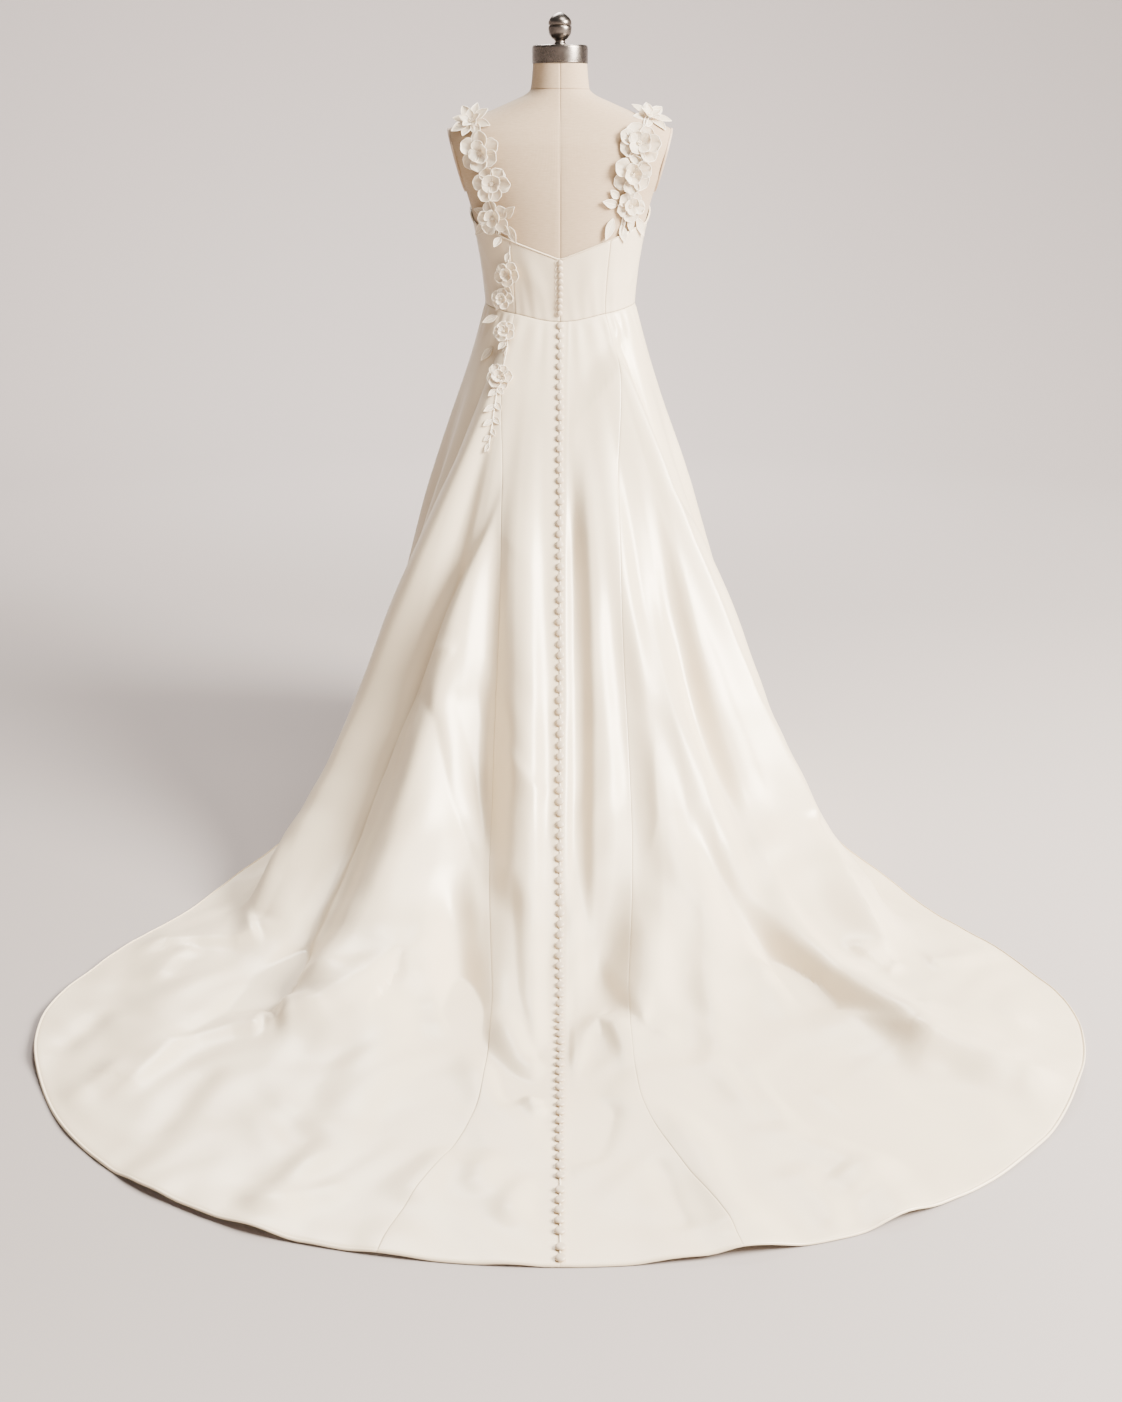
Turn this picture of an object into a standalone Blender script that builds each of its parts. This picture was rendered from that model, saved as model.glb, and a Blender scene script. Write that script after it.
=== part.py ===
# A satin wedding dress with floral straps, a buttoned back and a long train, on a limbless dress form.
# Metres, +Z up. The origin is on the floor under the form's pole. -Y is the back of the dress, where
# the train lies, +Y is its front, and +X is the wearer's right. An azimuth turns about +Z from the
# centre back, 0, through +X, 90, to the centre front, 180. Minus azimuths are the wearer's left.
import math
from collections import namedtuple

import bmesh
import bpy
from mathutils import Vector
from mathutils.bvhtree import BVHTree

SEAM_GAP = 0.0003
CLOTH = 0.002
BODICE_CLEAR = 0.0016
APPLIQUE = 0.0012
APPLIQUE_CLEAR = 0.0009
STRAP_CLEAR = 0.0018
STITCH_GAP = 0.0006
SECTION_POWER = 2.25

# The form's body, level by level.
Section = namedtuple("Section", "height half_width front back")
BODY = (
    Section(0.740, 0.176, 0.100, 0.120),
    Section(0.860, 0.184, 0.112, 0.132),
    Section(0.960, 0.174, 0.110, 0.120),
    Section(1.030, 0.159, 0.106, 0.104),
    Section(1.075, 0.1545, 0.105, 0.099),
    Section(1.140, 0.160, 0.121, 0.102),
    Section(1.200, 0.169, 0.139, 0.107),
    Section(1.250, 0.179, 0.145, 0.110),
    Section(1.300, 0.193, 0.134, 0.112),
    Section(1.350, 0.221, 0.112, 0.110),
    Section(1.400, 0.240, 0.094, 0.104),
    Section(1.428, 0.236, 0.083, 0.094),
    Section(1.445, 0.210, 0.076, 0.086),
    Section(1.460, 0.172, 0.070, 0.079),
    Section(1.475, 0.134, 0.066, 0.072),
    Section(1.490, 0.099, 0.063, 0.067),
    Section(1.503, 0.071, 0.061, 0.063),
    Section(1.513, 0.061, 0.058, 0.060),
)
BODY_COLUMNS = 24
ARM_BOTTOM = (0.1935, 1.311)
ARM_TOP = (0.2275, 1.437)
PLATE_HALF_HEIGHT = 0.066
PLATE_HALF_WIDTH = 0.056
PLATE_THICKNESS = 0.005

NECK_TOP = 1.5627
NECK_TOP_RADIUS = 0.0552
CAP_BOTTOM = 1.563
CAP_TOP = 1.600
CAP_RADIUS = 0.0572
POLE_RADIUS = 0.016
BASE_RADIUS = 0.190
BASE_THICKNESS = 0.016
HUB_RADIUS = 0.030
HUB_TOP = 0.045

# Heights of the waist seam and of the bodice's top edge round the body.
Level = namedtuple("Level", "azimuth height")
WAIST_SEAM = (Level(0, 1.053), Level(34, 1.0675), Level(90, 1.082), Level(180, 1.072))
TOP_EDGE = (
    Level(0, 1.181),
    Level(6, 1.188),
    Level(20, 1.204),
    Level(34, 1.218),
    Level(58, 1.241),
    Level(76, 1.250),
    Level(90, 1.270),
    Level(118, 1.298),
    Level(146, 1.318),
    Level(180, 1.296),
)
PRINCESS_BACK = 34
SIDE_SEAM = 90
PRINCESS_FRONT = 146
BODICE_ROWS = 8

# The hem on the floor, where the cloth first touches it, and how softly it turns there.
Reach = namedtuple("Reach", "azimuth radius")
HEM = (
    Reach(0, 1.713),
    Reach(12, 1.700),
    Reach(20, 1.660),
    Reach(27, 1.595),
    Reach(33, 1.505),
    Reach(37, 1.430),
    Reach(40, 1.345),
    Reach(43, 1.190),
    Reach(46, 0.990),
    Reach(50, 0.860),
    Reach(56, 0.720),
    Reach(66, 0.590),
    Reach(80, 0.510),
    Reach(100, 0.465),
    Reach(130, 0.435),
    Reach(180, 0.425),
)
TOUCHDOWN = (
    Reach(0, 0.78),
    Reach(30, 0.78),
    Reach(40, 0.72),
    Reach(50, 0.60),
    Reach(66, 0.50),
    Reach(80, 0.475),
    Reach(100, 0.455),
    Reach(130, 0.435),
    Reach(180, 0.425),
)
TURN = (
    Reach(0, 0.34),
    Reach(30, 0.32),
    Reach(45, 0.22),
    Reach(60, 0.09),
    Reach(80, 0.03),
    Reach(100, 0.01),
    Reach(180, 0.005),
)

# Folds run down the skirt. The first four columns are the azimuths of the ridge at the waist, at a
# third of the way to the hem, at its toe and at the hem. The next two are its half-widths in degrees
# on the -azimuth and +azimuth side. Height is the ridge above the plain skirt, negative in a trough,
# floor is what is left of it on the train, and start and toe are shares of the way to the hem.
Fold = namedtuple("Fold", "name waist middle toe hem minus plus height floor start toe_at")
FOLDS = (
    Fold("left pleat", -33, -41, -38, -39, 11, 8, 0.046, 0.010, 0.01, 0.62),
    Fold("left pleat trough", -28, -29, -25.5, -30, 5, 4, -0.020, 0.000, 0.05, 0.70),
    Fold("left second fold", -22, -21.5, -20.5, -27, 6, 9, 0.040, 0.012, 0.08, 0.70),
    Fold("left seam trough", -19, -11.5, -9, -10, 6, 5, -0.018, 0.000, 0.03, 0.62),
    Fold("left closure fold", -10, -4.5, -3.5, -3, 5, 4.5, 0.020, 0.006, 0.06, 0.74),
    Fold("left break", -19, -17, -14.5, -18, 5, 6, 0.010, 0.014, 0.42, 0.74),
    Fold("left sweep", -32, -32, -32, -36, 5, 6, 0.006, 0.016, 0.50, 0.82),
    Fold("right closure trough", 7, 4.5, 4, 3, 4, 5, -0.016, 0.000, 0.05, 0.60),
    Fold("right inner fold", 16, 14.5, 7, 6, 6, 5, 0.032, 0.010, 0.04, 0.65),
    Fold("right middle fold", 24, 19.5, 14, 13, 4.5, 5, 0.022, 0.006, 0.12, 0.62),
    Fold("right trough", 30, 26.5, 22.5, 26, 4, 4, -0.024, -0.002, 0.10, 0.70),
    Fold("right drawn fold", 26, 24, 28, 30.5, 3.5, 4.5, 0.016, 0.022, 0.36, 0.80),
    Fold("right lower sweep", 18, 18, 26.5, 32.5, 4, 3, 0.004, 0.018, 0.50, 0.80),
    Fold("right pleat", 35, 42, 37.5, 40, 8, 10, 0.046, 0.010, 0.01, 0.68),
    Fold("left side flute", -60, -60, -58, -56, 10, 10, 0.016, 0.006, 0.06, 0.80),
    Fold("right side flute", 60, 60, 58, 56, 10, 10, 0.016, 0.006, 0.06, 0.80),
    Fold("left hip flute", -84, -84, -82, -82, 11, 12, 0.018, 0.014, 0.06, 0.95),
    Fold("right hip flute", 84, 84, 82, 82, 12, 11, 0.018, 0.014, 0.06, 0.95),
    Fold("left front flute", -114, -114, -112, -112, 13, 13, 0.024, 0.020, 0.08, 0.95),
    Fold("right front flute", 112, 113, 114, 115, 13, 13, 0.024, 0.020, 0.08, 0.95),
    Fold("left knee flute", -146, -147, -146, -145, 13, 14, 0.022, 0.018, 0.10, 0.95),
    Fold("right knee flute", 150, 148, 148, 149, 14, 13, 0.022, 0.018, 0.10, 0.95),
    Fold("front flute", 178, 179, 181, 182, 12, 13, 0.016, 0.014, 0.12, 0.95),
)
FOLD_MIDDLE = 0.33

# Places where the hem stands a little off the floor.
Lift = namedtuple("Lift", "azimuth half_width height")
HEM_LIFTS = (
    Lift(-21.0, 3.0, 0.007),
    Lift(-14.1, 3.2, 0.013),
    Lift(-7.4, 2.6, 0.008),
    Lift(8.9, 3.0, 0.012),
    Lift(16.2, 3.4, 0.013),
    Lift(24.5, 3.0, 0.006),
)
HEM_LIFT_STARTS = 0.86

# The two long seams of the skirt, as azimuths along the way from waist to hem.
Station = namedtuple("Station", "along azimuth")
GORE_SEAM = (
    Station(0.00, 34),
    Station(0.12, 19),
    Station(0.20, 14),
    Station(0.36, 10.5),
    Station(0.60, 6),
    Station(0.75, 5.3),
    Station(1.00, 8.2),
)
SKIRT_SIDE_SEAM = (Station(0, 90), Station(0.5, 80), Station(1, 76))
PLACKET_HALF_WIDTH = 0.009
PLACKET_EASE = 0.035
SKIRT_ROWS = (0, 0.03, 0.08, 0.14, 0.20, 0.26, 0.32, 0.38, 0.44, 0.50, 0.56, 0.61, 0.66, 0.72, 0.80, 0.88, 0.95, 1)

BODICE_BUTTON = 0.0055
SKIRT_BUTTON = 0.0070
BUTTON_DOME = 0.0058
CORD_HALF_WIDTH = 0.0020
CORD_HEIGHT = 0.0014
BUTTON_LIFT = 0.0008
BODICE_BUTTONS = 9
SKIRT_BUTTONS = 92
SKIRT_BUTTON_PITCH = 0.0219
BUTTON_GAP = 0.011
BUTTONS_BEFORE_GAP = (85, 90)
BUTTON_RUNS = 4

STRAP_HALF_WIDTH = 0.006
STRAP_PIVOT = 1.246
Path = namedtuple("Path", "turn across")
STRAP_FEET = (0.126, 0.128)
STRAP_PATH = (Path(5, 0.129), Path(30, 0.142), Path(60, 0.166), Path(90, 0.178), Path(120, 0.156), Path(140, 0.130))
STRAP_STATIONS = 21

# Flowers, seen from the back unless side says front: across and height are where they sit.
Flower = namedtuple("Flower", "name across height radius petals tilt side")
FLOWERS = (
    Flower("flower_left_shoulder", -0.179, 1.445, 0.041, 6, 0.10, "back"),
    Flower("flower_left_2", -0.160, 1.386, 0.040, 6, 0.12, "back"),
    Flower("flower_left_3", -0.137, 1.326, 0.036, 5, 0.12, "back"),
    Flower("flower_left_4", -0.134, 1.260, 0.032, 5, 0.12, "back"),
    Flower("flower_trail_1", -0.107, 1.148, 0.024, 5, 0.12, "back"),
    Flower("flower_trail_2", -0.119, 1.096, 0.022, 5, 0.12, "back"),
    Flower("flower_trail_3", -0.113, 1.028, 0.022, 5, 0.12, "back"),
    Flower("flower_trail_4", -0.124, 0.945, 0.026, 5, 0.12, "back"),
    Flower("flower_right_shoulder", 0.182, 1.452, 0.041, 6, 0.10, "back"),
    Flower("flower_right_2", 0.160, 1.402, 0.041, 6, 0.12, "back"),
    Flower("flower_right_3", 0.145, 1.342, 0.038, 6, 0.12, "back"),
    Flower("flower_right_4", 0.140, 1.280, 0.030, 5, 0.12, "back"),
    Flower("flower_left_front_1", -0.166, 1.416, 0.034, 6, 0.12, "front"),
    Flower("flower_left_front_2", -0.148, 1.350, 0.028, 5, 0.12, "front"),
    Flower("flower_right_front_1", 0.166, 1.416, 0.034, 6, 0.12, "front"),
    Flower("flower_right_front_2", 0.148, 1.350, 0.028, 5, 0.12, "front"),
)
PETAL_WAIST = 0.66
PETAL_CUP = 0.22

# Leaves: where the stalk ends, which way the tip points as seen from the back, and their size.
Leaf = namedtuple("Leaf", "name across height heading length half_width")
LEAVES = (
    Leaf("leaf_left_side", -0.156, 1.246, 205, 0.040, 0.011),
    Leaf("leaf_left_inner", -0.108, 1.269, 40, 0.030, 0.010),
    Leaf("leaf_left_drop", -0.101, 1.243, 300, 0.036, 0.010),
    Leaf("leaf_trail_left", -0.144, 0.992, 235, 0.030, 0.008),
    Leaf("leaf_right_inner", 0.112, 1.288, 165, 0.032, 0.010),
    Leaf("leaf_right_drop", 0.106, 1.256, 245, 0.044, 0.010),
    Leaf("leaf_right_outer", 0.160, 1.256, 305, 0.040, 0.010),
)

# The stem that trails down the back: its centre line, and the half-width of each leaf lobe on it.
Stem = namedtuple("Stem", "across height half_width")
TRAIL = (
    Stem(-0.103, 1.206, 0.0030),
    Stem(-0.103, 1.190, 0.0065),
    Stem(-0.106, 1.172, 0.0030),
    Stem(-0.107, 1.148, 0.0030),
    Stem(-0.112, 1.126, 0.0065),
    Stem(-0.117, 1.108, 0.0030),
    Stem(-0.119, 1.090, 0.0060),
    Stem(-0.118, 1.076, 0.0025),
)
LOWER_TRAIL = (
    Stem(-0.113, 1.052, 0.0030),
    Stem(-0.112, 1.040, 0.0075),
    Stem(-0.110, 1.022, 0.0030),
    Stem(-0.108, 0.998, 0.0090),
    Stem(-0.113, 0.978, 0.0030),
    Stem(-0.124, 0.945, 0.0075),
    Stem(-0.129, 0.918, 0.0025),
    Stem(-0.131, 0.904, 0.0115),
    Stem(-0.132, 0.891, 0.0025),
    Stem(-0.135, 0.878, 0.0120),
    Stem(-0.136, 0.864, 0.0025),
    Stem(-0.138, 0.852, 0.0105),
    Stem(-0.140, 0.838, 0.0025),
    Stem(-0.142, 0.826, 0.0060),
    Stem(-0.146, 0.806, 0.0012),
)


def clear_scene():
    for obj in list(bpy.data.objects):
        bpy.data.objects.remove(obj)


def make_material(name, colour, roughness, metallic=0.0):
    material = bpy.data.materials.new(name)
    material.use_nodes = True
    shader = material.node_tree.nodes["Principled BSDF"]
    shader.inputs["Base Color"].default_value = (*colour, 1)
    shader.inputs["Roughness"].default_value = roughness
    shader.inputs["Metallic"].default_value = metallic
    return material


def halved(face):
    """A four-sided face as two triangles, so that it bends the same way on both sides of a wall."""
    return [face] if len(face) != 4 else [(face[0], face[1], face[2]), (face[0], face[2], face[3])]


def add_solid(name, points, faces, material, sharp=35):
    """A closed mesh object with its faces turned outwards."""
    mesh = bpy.data.meshes.new(name)
    mesh.from_pydata([tuple(p) for p in points], [], [half for face in faces for half in halved(face)])
    work = bmesh.new()
    work.from_mesh(mesh)
    bmesh.ops.recalc_face_normals(work, faces=work.faces)
    work.to_mesh(mesh)
    work.free()
    mesh.shade_smooth()
    mesh.set_sharp_from_angle(angle=math.radians(sharp))
    mesh.materials.append(material)
    obj = bpy.data.objects.new(name, mesh)
    bpy.context.scene.collection.objects.link(obj)
    return obj


def curve_at(rows, where):
    """A smooth curve through rows of (place, value), with no overshoot."""
    places = [row[0] for row in rows]
    values = [row[1] for row in rows]
    last = len(places) - 1
    where = min(max(where, places[0]), places[last])
    i = 0
    while i < last - 1 and where > places[i + 1]:
        i += 1

    def slope(k):
        if k in (0, last):
            return 0.0
        before = (values[k] - values[k - 1]) / (places[k] - places[k - 1])
        after = (values[k + 1] - values[k]) / (places[k + 1] - places[k])
        return 2 * before * after / (before + after) if before * after > 0 else 0.0

    step = places[i + 1] - places[i]
    t = (where - places[i]) / step
    return (
        (2 * t**3 - 3 * t**2 + 1) * values[i]
        + (t**3 - 2 * t**2 + t) * step * slope(i)
        + (3 * t**2 - 2 * t**3) * values[i + 1]
        + (t**3 - t**2) * step * slope(i + 1)
    )


def line_at(rows, where):
    """Straight lines through rows of (place, value)."""
    for (start, first), (end, second) in zip(rows, rows[1:]):
        if where <= end:
            return first + (second - first) * max(0.0, (where - start) / (end - start))
    return rows[-1][1]


def smooth_step(low, high, value):
    t = min(max((value - low) / (high - low), 0.0), 1.0)
    return t * t * (3 - 2 * t)


def section_point(azimuth, half_width, front, back, out):
    """A point of a body section, moved out by the given distance."""
    sine = math.sin(math.radians(azimuth))
    cosine = math.cos(math.radians(azimuth))
    depth = back if cosine > 0 else front
    x = half_width * math.copysign(abs(sine) ** (2 / SECTION_POWER), sine)
    y = -depth * math.copysign(abs(cosine) ** (2 / SECTION_POWER), cosine)
    rise = SECTION_POWER - 1
    normal_x = math.copysign((abs(x) / half_width) ** rise / half_width, x)
    normal_y = math.copysign((abs(y) / depth) ** rise / depth, y)
    size = math.hypot(normal_x, normal_y)
    return x + out * normal_x / size, y + out * normal_y / size


def body_size(height):
    """Half-width, front depth and back depth of the form at this height."""
    return [curve_at([(row.height, row[k]) for row in BODY], height) for k in (1, 2, 3)]


def body_point(azimuth, height, out):
    x, y = section_point(azimuth, *body_size(height), out)
    return Vector((x, y, height))


def waist_height(azimuth):
    return curve_at(WAIST_SEAM, abs(azimuth))


def plain_skirt_point(azimuth, along):
    """The skirt with no folds: a cone from the waist that turns onto the floor, along from 0 to 1."""
    around = (azimuth + 180) % 360 - 180
    waist = body_point(around, waist_height(around) - SEAM_GAP / 2, BODICE_CLEAR + CLOTH)
    reach = curve_at(HEM, abs(around))
    bearing = math.radians(around)
    hem = Vector((reach * math.sin(bearing), -reach * math.cos(bearing), 0))
    run = Vector((hem.x - waist.x, hem.y - waist.y))
    start = math.hypot(waist.x, waist.y)
    touch = curve_at(TOUCHDOWN, abs(around)) - start
    turn = curve_at(TURN, abs(around))
    drop = waist.z - CLOTH
    gone = along * run.length
    if gone < touch - turn:
        height = drop * (1 - gone / touch)
    elif gone < touch + turn:
        height = drop / touch * (touch + turn - gone) ** 2 / (4 * turn)
    else:
        height = 0.0
    return Vector((waist.x + run.x * along, waist.y + run.y * along, height + CLOTH))


def fold_lift(azimuth, along):
    """Height of all the folds above the plain skirt."""
    total = 0.0
    for fold in FOLDS:
        ridge = curve_at(
            ((0, fold.waist), (FOLD_MIDDLE, fold.middle), (fold.toe_at, fold.toe), (1, fold.hem)),
            along,
        )
        away = (azimuth - ridge + 180) % 360 - 180
        share = away / (fold.plus if away > 0 else fold.minus)
        if abs(share) >= 1:
            continue
        body = smooth_step(fold.start, fold.start + 0.30, along)
        body *= 1 - smooth_step(fold.toe_at - 0.10, fold.toe_at + 0.05, along)
        tail = smooth_step(fold.toe_at - 0.20, fold.toe_at, along) * (1 - 0.6 * smooth_step(fold.toe_at, 1, along))
        total += (fold.height * body + fold.floor * tail) * 0.5 * (1 + math.cos(math.pi * share))
    for lift in HEM_LIFTS:
        share = abs(azimuth - lift.azimuth) / lift.half_width
        if share < 1:
            total += lift.height * smooth_step(HEM_LIFT_STARTS, 1, along) * 0.5 * (1 + math.cos(math.pi * share))
    beside = abs(math.radians((azimuth + 180) % 360 - 180)) * max(plain_skirt_point(azimuth, along).xy.length, 0.1)
    return total * smooth_step(PLACKET_HALF_WIDTH, PLACKET_HALF_WIDTH + PLACKET_EASE, beside)


def normal_of(surface, azimuth, along):
    """Outward normal of a surface, from points a little to each side."""
    turn, step = 0.25, 0.002
    low, high = max(along - step, 0), min(along + step, 1)
    across = surface(azimuth + turn, along) - surface(azimuth - turn, along)
    down = surface(azimuth, high) - surface(azimuth, low)
    return down.cross(across).normalized()


def skirt_point(azimuth, along):
    """A point of the skirt's outer face, folds and all."""
    point = plain_skirt_point(azimuth, along)
    point = point + normal_of(plain_skirt_point, azimuth, along) * fold_lift(azimuth, along)
    point.z = max(point.z, CLOTH)
    return point


def skirt_inner_point(azimuth, along):
    point = skirt_point(azimuth, along) - normal_of(skirt_point, azimuth, along) * CLOTH
    if along == 0:
        point.z = waist_height((azimuth + 180) % 360 - 180) - SEAM_GAP / 2
    point.z = max(point.z, 0.0)
    return point


def bodice_point(azimuth, along, out):
    """A point of the bodice, along from 0 at the waist seam to 1 at the top edge."""
    around = (azimuth + 180) % 360 - 180
    bottom = waist_height(around) + SEAM_GAP / 2
    top = curve_at(TOP_EDGE, abs(around))
    return body_point(around, bottom + (top - bottom) * along, BODICE_CLEAR + out)


def wall_solid(name, outer, inner, material):
    """A cloth wall between two grids of points of the same size, rows by columns."""
    rows, columns = len(outer), len(outer[0])
    points = [p for grid in (outer, inner) for row in grid for p in row]
    back = rows * columns

    def at(row, column, side=0):
        return side * back + row * columns + column

    faces = []
    for r in range(rows - 1):
        for c in range(columns - 1):
            faces.append((at(r, c), at(r, c + 1), at(r + 1, c + 1), at(r + 1, c)))
            faces.append((at(r, c, 1), at(r + 1, c, 1), at(r + 1, c + 1, 1), at(r, c + 1, 1)))
    rim = [(0, c) for c in range(columns)]
    rim += [(r, columns - 1) for r in range(1, rows)]
    rim += [(rows - 1, c) for c in range(columns - 2, -1, -1)]
    rim += [(r, 0) for r in range(rows - 2, 0, -1)]
    for here, there in zip(rim, rim[1:] + rim[:1]):
        around = (at(*here), at(*here, 1), at(*there, 1), at(*there))
        faces.append(around if there[0] >= here[0] else around[3:] + around[:3])
    return add_solid(name, points, faces, material)


def turned_solid(name, profile, segments, material, sharp=35):
    """A round solid from (radius, height) pairs, bottom to top. A radius of 0 closes an end."""
    points, rings = [], []
    for radius, height in profile:
        if radius == 0:
            rings.append([len(points)])
            points.append((0, 0, height))
            continue
        rings.append(list(range(len(points), len(points) + segments)))
        for k in range(segments):
            angle = 2 * math.pi * k / segments
            points.append((radius * math.cos(angle), radius * math.sin(angle), height))
    return add_solid(name, points, ring_faces(rings), material, sharp)


def ring_faces(rings):
    """Faces between rings of point numbers, where a ring of one point is a tip."""
    faces = []
    for lower, upper in zip(rings, rings[1:]):
        count = max(len(lower), len(upper))
        for k in range(count):
            after = (k + 1) % count
            corners = [lower[k % len(lower)], lower[after % len(lower)], upper[after % len(upper)], upper[k % len(upper)]]
            faces.append(tuple(dict.fromkeys(corners)))
    for end in (rings[0], rings[-1]):
        if len(end) > 1:
            faces.append(tuple(end))
    return faces


def build_torso(linen):
    """The form's body, with a flat cut at each armhole."""
    heights = [0.740, 0.800, 0.860, 0.910, 0.960, 1.000] + [row.height for row in BODY if row.height > 1.0]
    heights += [1.105, 1.170, 1.222, 1.272, 1.325, 1.375]
    points, rings = [], []
    for height in sorted(heights):
        rings.append(list(range(len(points), len(points) + BODY_COLUMNS)))
        for k in range(BODY_COLUMNS):
            points.append(body_point(360 * k / BODY_COLUMNS, height, 0))
    torso = add_solid("form_torso", points, ring_faces(rings), linen)
    work = bmesh.new()
    work.from_mesh(torso.data)
    for side in (-1, 1):
        normal = arm_plane_normal(side)
        cut = bmesh.ops.bisect_plane(
            work,
            geom=work.verts[:] + work.edges[:] + work.faces[:],
            plane_co=(side * ARM_BOTTOM[0], 0, ARM_BOTTOM[1]),
            plane_no=normal,
            clear_outer=True,
        )
        edges = [e for e in cut["geom_cut"] if isinstance(e, bmesh.types.BMEdge)]
        bmesh.ops.holes_fill(work, edges=edges, sides=0)
    bmesh.ops.triangulate(work, faces=work.faces)
    bmesh.ops.recalc_face_normals(work, faces=work.faces)
    work.to_mesh(torso.data)
    work.free()
    torso.data.shade_smooth()
    torso.data.set_sharp_from_angle(angle=math.radians(35))
    return torso


def arm_plane_normal(side):
    rise = Vector((ARM_TOP[0] - ARM_BOTTOM[0], 0, ARM_TOP[1] - ARM_BOTTOM[1])).normalized()
    return Vector((side * rise.z, 0, -rise.x))


def build_arm_plate(name, side, board):
    """The flat oval board that closes the form's armhole."""
    segments = 20
    normal = arm_plane_normal(side)
    middle = Vector((side * (ARM_BOTTOM[0] + ARM_TOP[0]) / 2, 0, (ARM_BOTTOM[1] + ARM_TOP[1]) / 2))
    rise = Vector((0, 1, 0)).cross(normal).normalized()
    points, rings = [], []
    for out, inset in ((SEAM_GAP, 0), (PLATE_THICKNESS - 0.0012, 0), (PLATE_THICKNESS, 0.0014)):
        rings.append(list(range(len(points), len(points) + segments)))
        for k in range(segments):
            angle = 2 * math.pi * k / segments
            across = (PLATE_HALF_WIDTH - inset) * math.cos(angle)
            up = (PLATE_HALF_HEIGHT - inset) * math.sin(angle)
            points.append(middle + normal * out + Vector((0, across, 0)) + rise * up)
    return add_solid(name, points, ring_faces(rings), board)


def build_form(linen, board, metal, iron):
    torso = build_torso(linen)
    for name, side in (("form_arm_plate_left", -1), ("form_arm_plate_right", 1)):
        build_arm_plate(name, side, board)
    bottom = BODY[-1].height + SEAM_GAP
    points, rings = [], []
    for share in (0, 0.25, 0.6, 1):
        height = bottom + (NECK_TOP - bottom) * share
        width = BODY[-1].half_width + (NECK_TOP_RADIUS - BODY[-1].half_width) * share**0.6
        depth = BODY[-1].front + (NECK_TOP_RADIUS - 0.001 - BODY[-1].front) * share**0.6
        rings.append(list(range(len(points), len(points) + 20)))
        for k in range(20):
            x, y = section_point(18 * k, width, depth, depth + 0.001, 0)
            points.append((x, y, height))
    add_solid("form_neck", points, ring_faces(rings), linen)
    turned_solid(
        "form_cap",
        (
            (CAP_RADIUS - 0.0012, CAP_BOTTOM),
            (CAP_RADIUS, CAP_BOTTOM + 0.0014),
            (CAP_RADIUS, CAP_TOP - 0.0050),
            (CAP_RADIUS - 0.0018, CAP_TOP - 0.0015),
            (0.0150, CAP_TOP),
        ),
        24,
        metal,
    )
    turned_solid(
        "form_finial",
        (
            (0.0125, CAP_TOP + SEAM_GAP),
            (0.0120, 1.6030),
            (0.0100, 1.6065),
            (0.0118, 1.6095),
            (0.0178, 1.6140),
            (0.0225, 1.6225),
            (0.0237, 1.6310),
            (0.0231, 1.6352),
            (0.0215, 1.6365),
            (0.0232, 1.6380),
            (0.0236, 1.6425),
            (0.0210, 1.6490),
            (0.0142, 1.6560),
            (0.0060, 1.6610),
            (0, 1.6630),
        ),
        14,
        metal,
        50,
    )
    pole_bottom, pole_top = HUB_TOP + SEAM_GAP, BODY[0].height - SEAM_GAP
    turned_solid("form_pole", ((POLE_RADIUS, pole_bottom), (POLE_RADIUS, pole_top)), 12, metal)
    turned_solid(
        "form_base",
        (
            (BASE_RADIUS - 0.002, 0),
            (BASE_RADIUS, 0.002),
            (BASE_RADIUS, BASE_THICKNESS - 0.004),
            (BASE_RADIUS - 0.006, BASE_THICKNESS),
            (HUB_RADIUS + 0.012, BASE_THICKNESS + 0.003),
            (HUB_RADIUS, BASE_THICKNESS + 0.012),
            (HUB_RADIUS - 0.004, HUB_TOP),
        ),
        24,
        iron,
    )
    return torso


def build_bodice(satin):
    """Seven fitted panels, with the closure at the centre back."""
    panels = (
        ("bodice_back_left", -PRINCESS_BACK, 0, 5),
        ("bodice_back_right", 0, PRINCESS_BACK, 5),
        ("bodice_side_back_left", -SIDE_SEAM, -PRINCESS_BACK, 6),
        ("bodice_side_back_right", PRINCESS_BACK, SIDE_SEAM, 6),
        ("bodice_side_front_left", -PRINCESS_FRONT, -SIDE_SEAM, 6),
        ("bodice_side_front_right", SIDE_SEAM, PRINCESS_FRONT, 6),
        ("bodice_front", PRINCESS_FRONT, 360 - PRINCESS_FRONT, 8),
    )
    made = []
    for name, start, end, columns in panels:
        trim = math.degrees(SEAM_GAP / 2 / 0.13)
        turns = [start + trim + (end - start - 2 * trim) * c / columns for c in range(columns + 1)]
        steps = [r / BODICE_ROWS for r in range(BODICE_ROWS + 1)]
        outer = [[bodice_point(a, step, CLOTH) for a in turns] for step in steps]
        inner = [[bodice_point(a, step, 0) for a in turns] for step in steps]
        made.append(wall_solid(name, outer, inner, satin))
    return made


def gore_seam(along):
    return curve_at(GORE_SEAM, along)


def side_seam(along):
    return curve_at(SKIRT_SIDE_SEAM, along)


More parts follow.
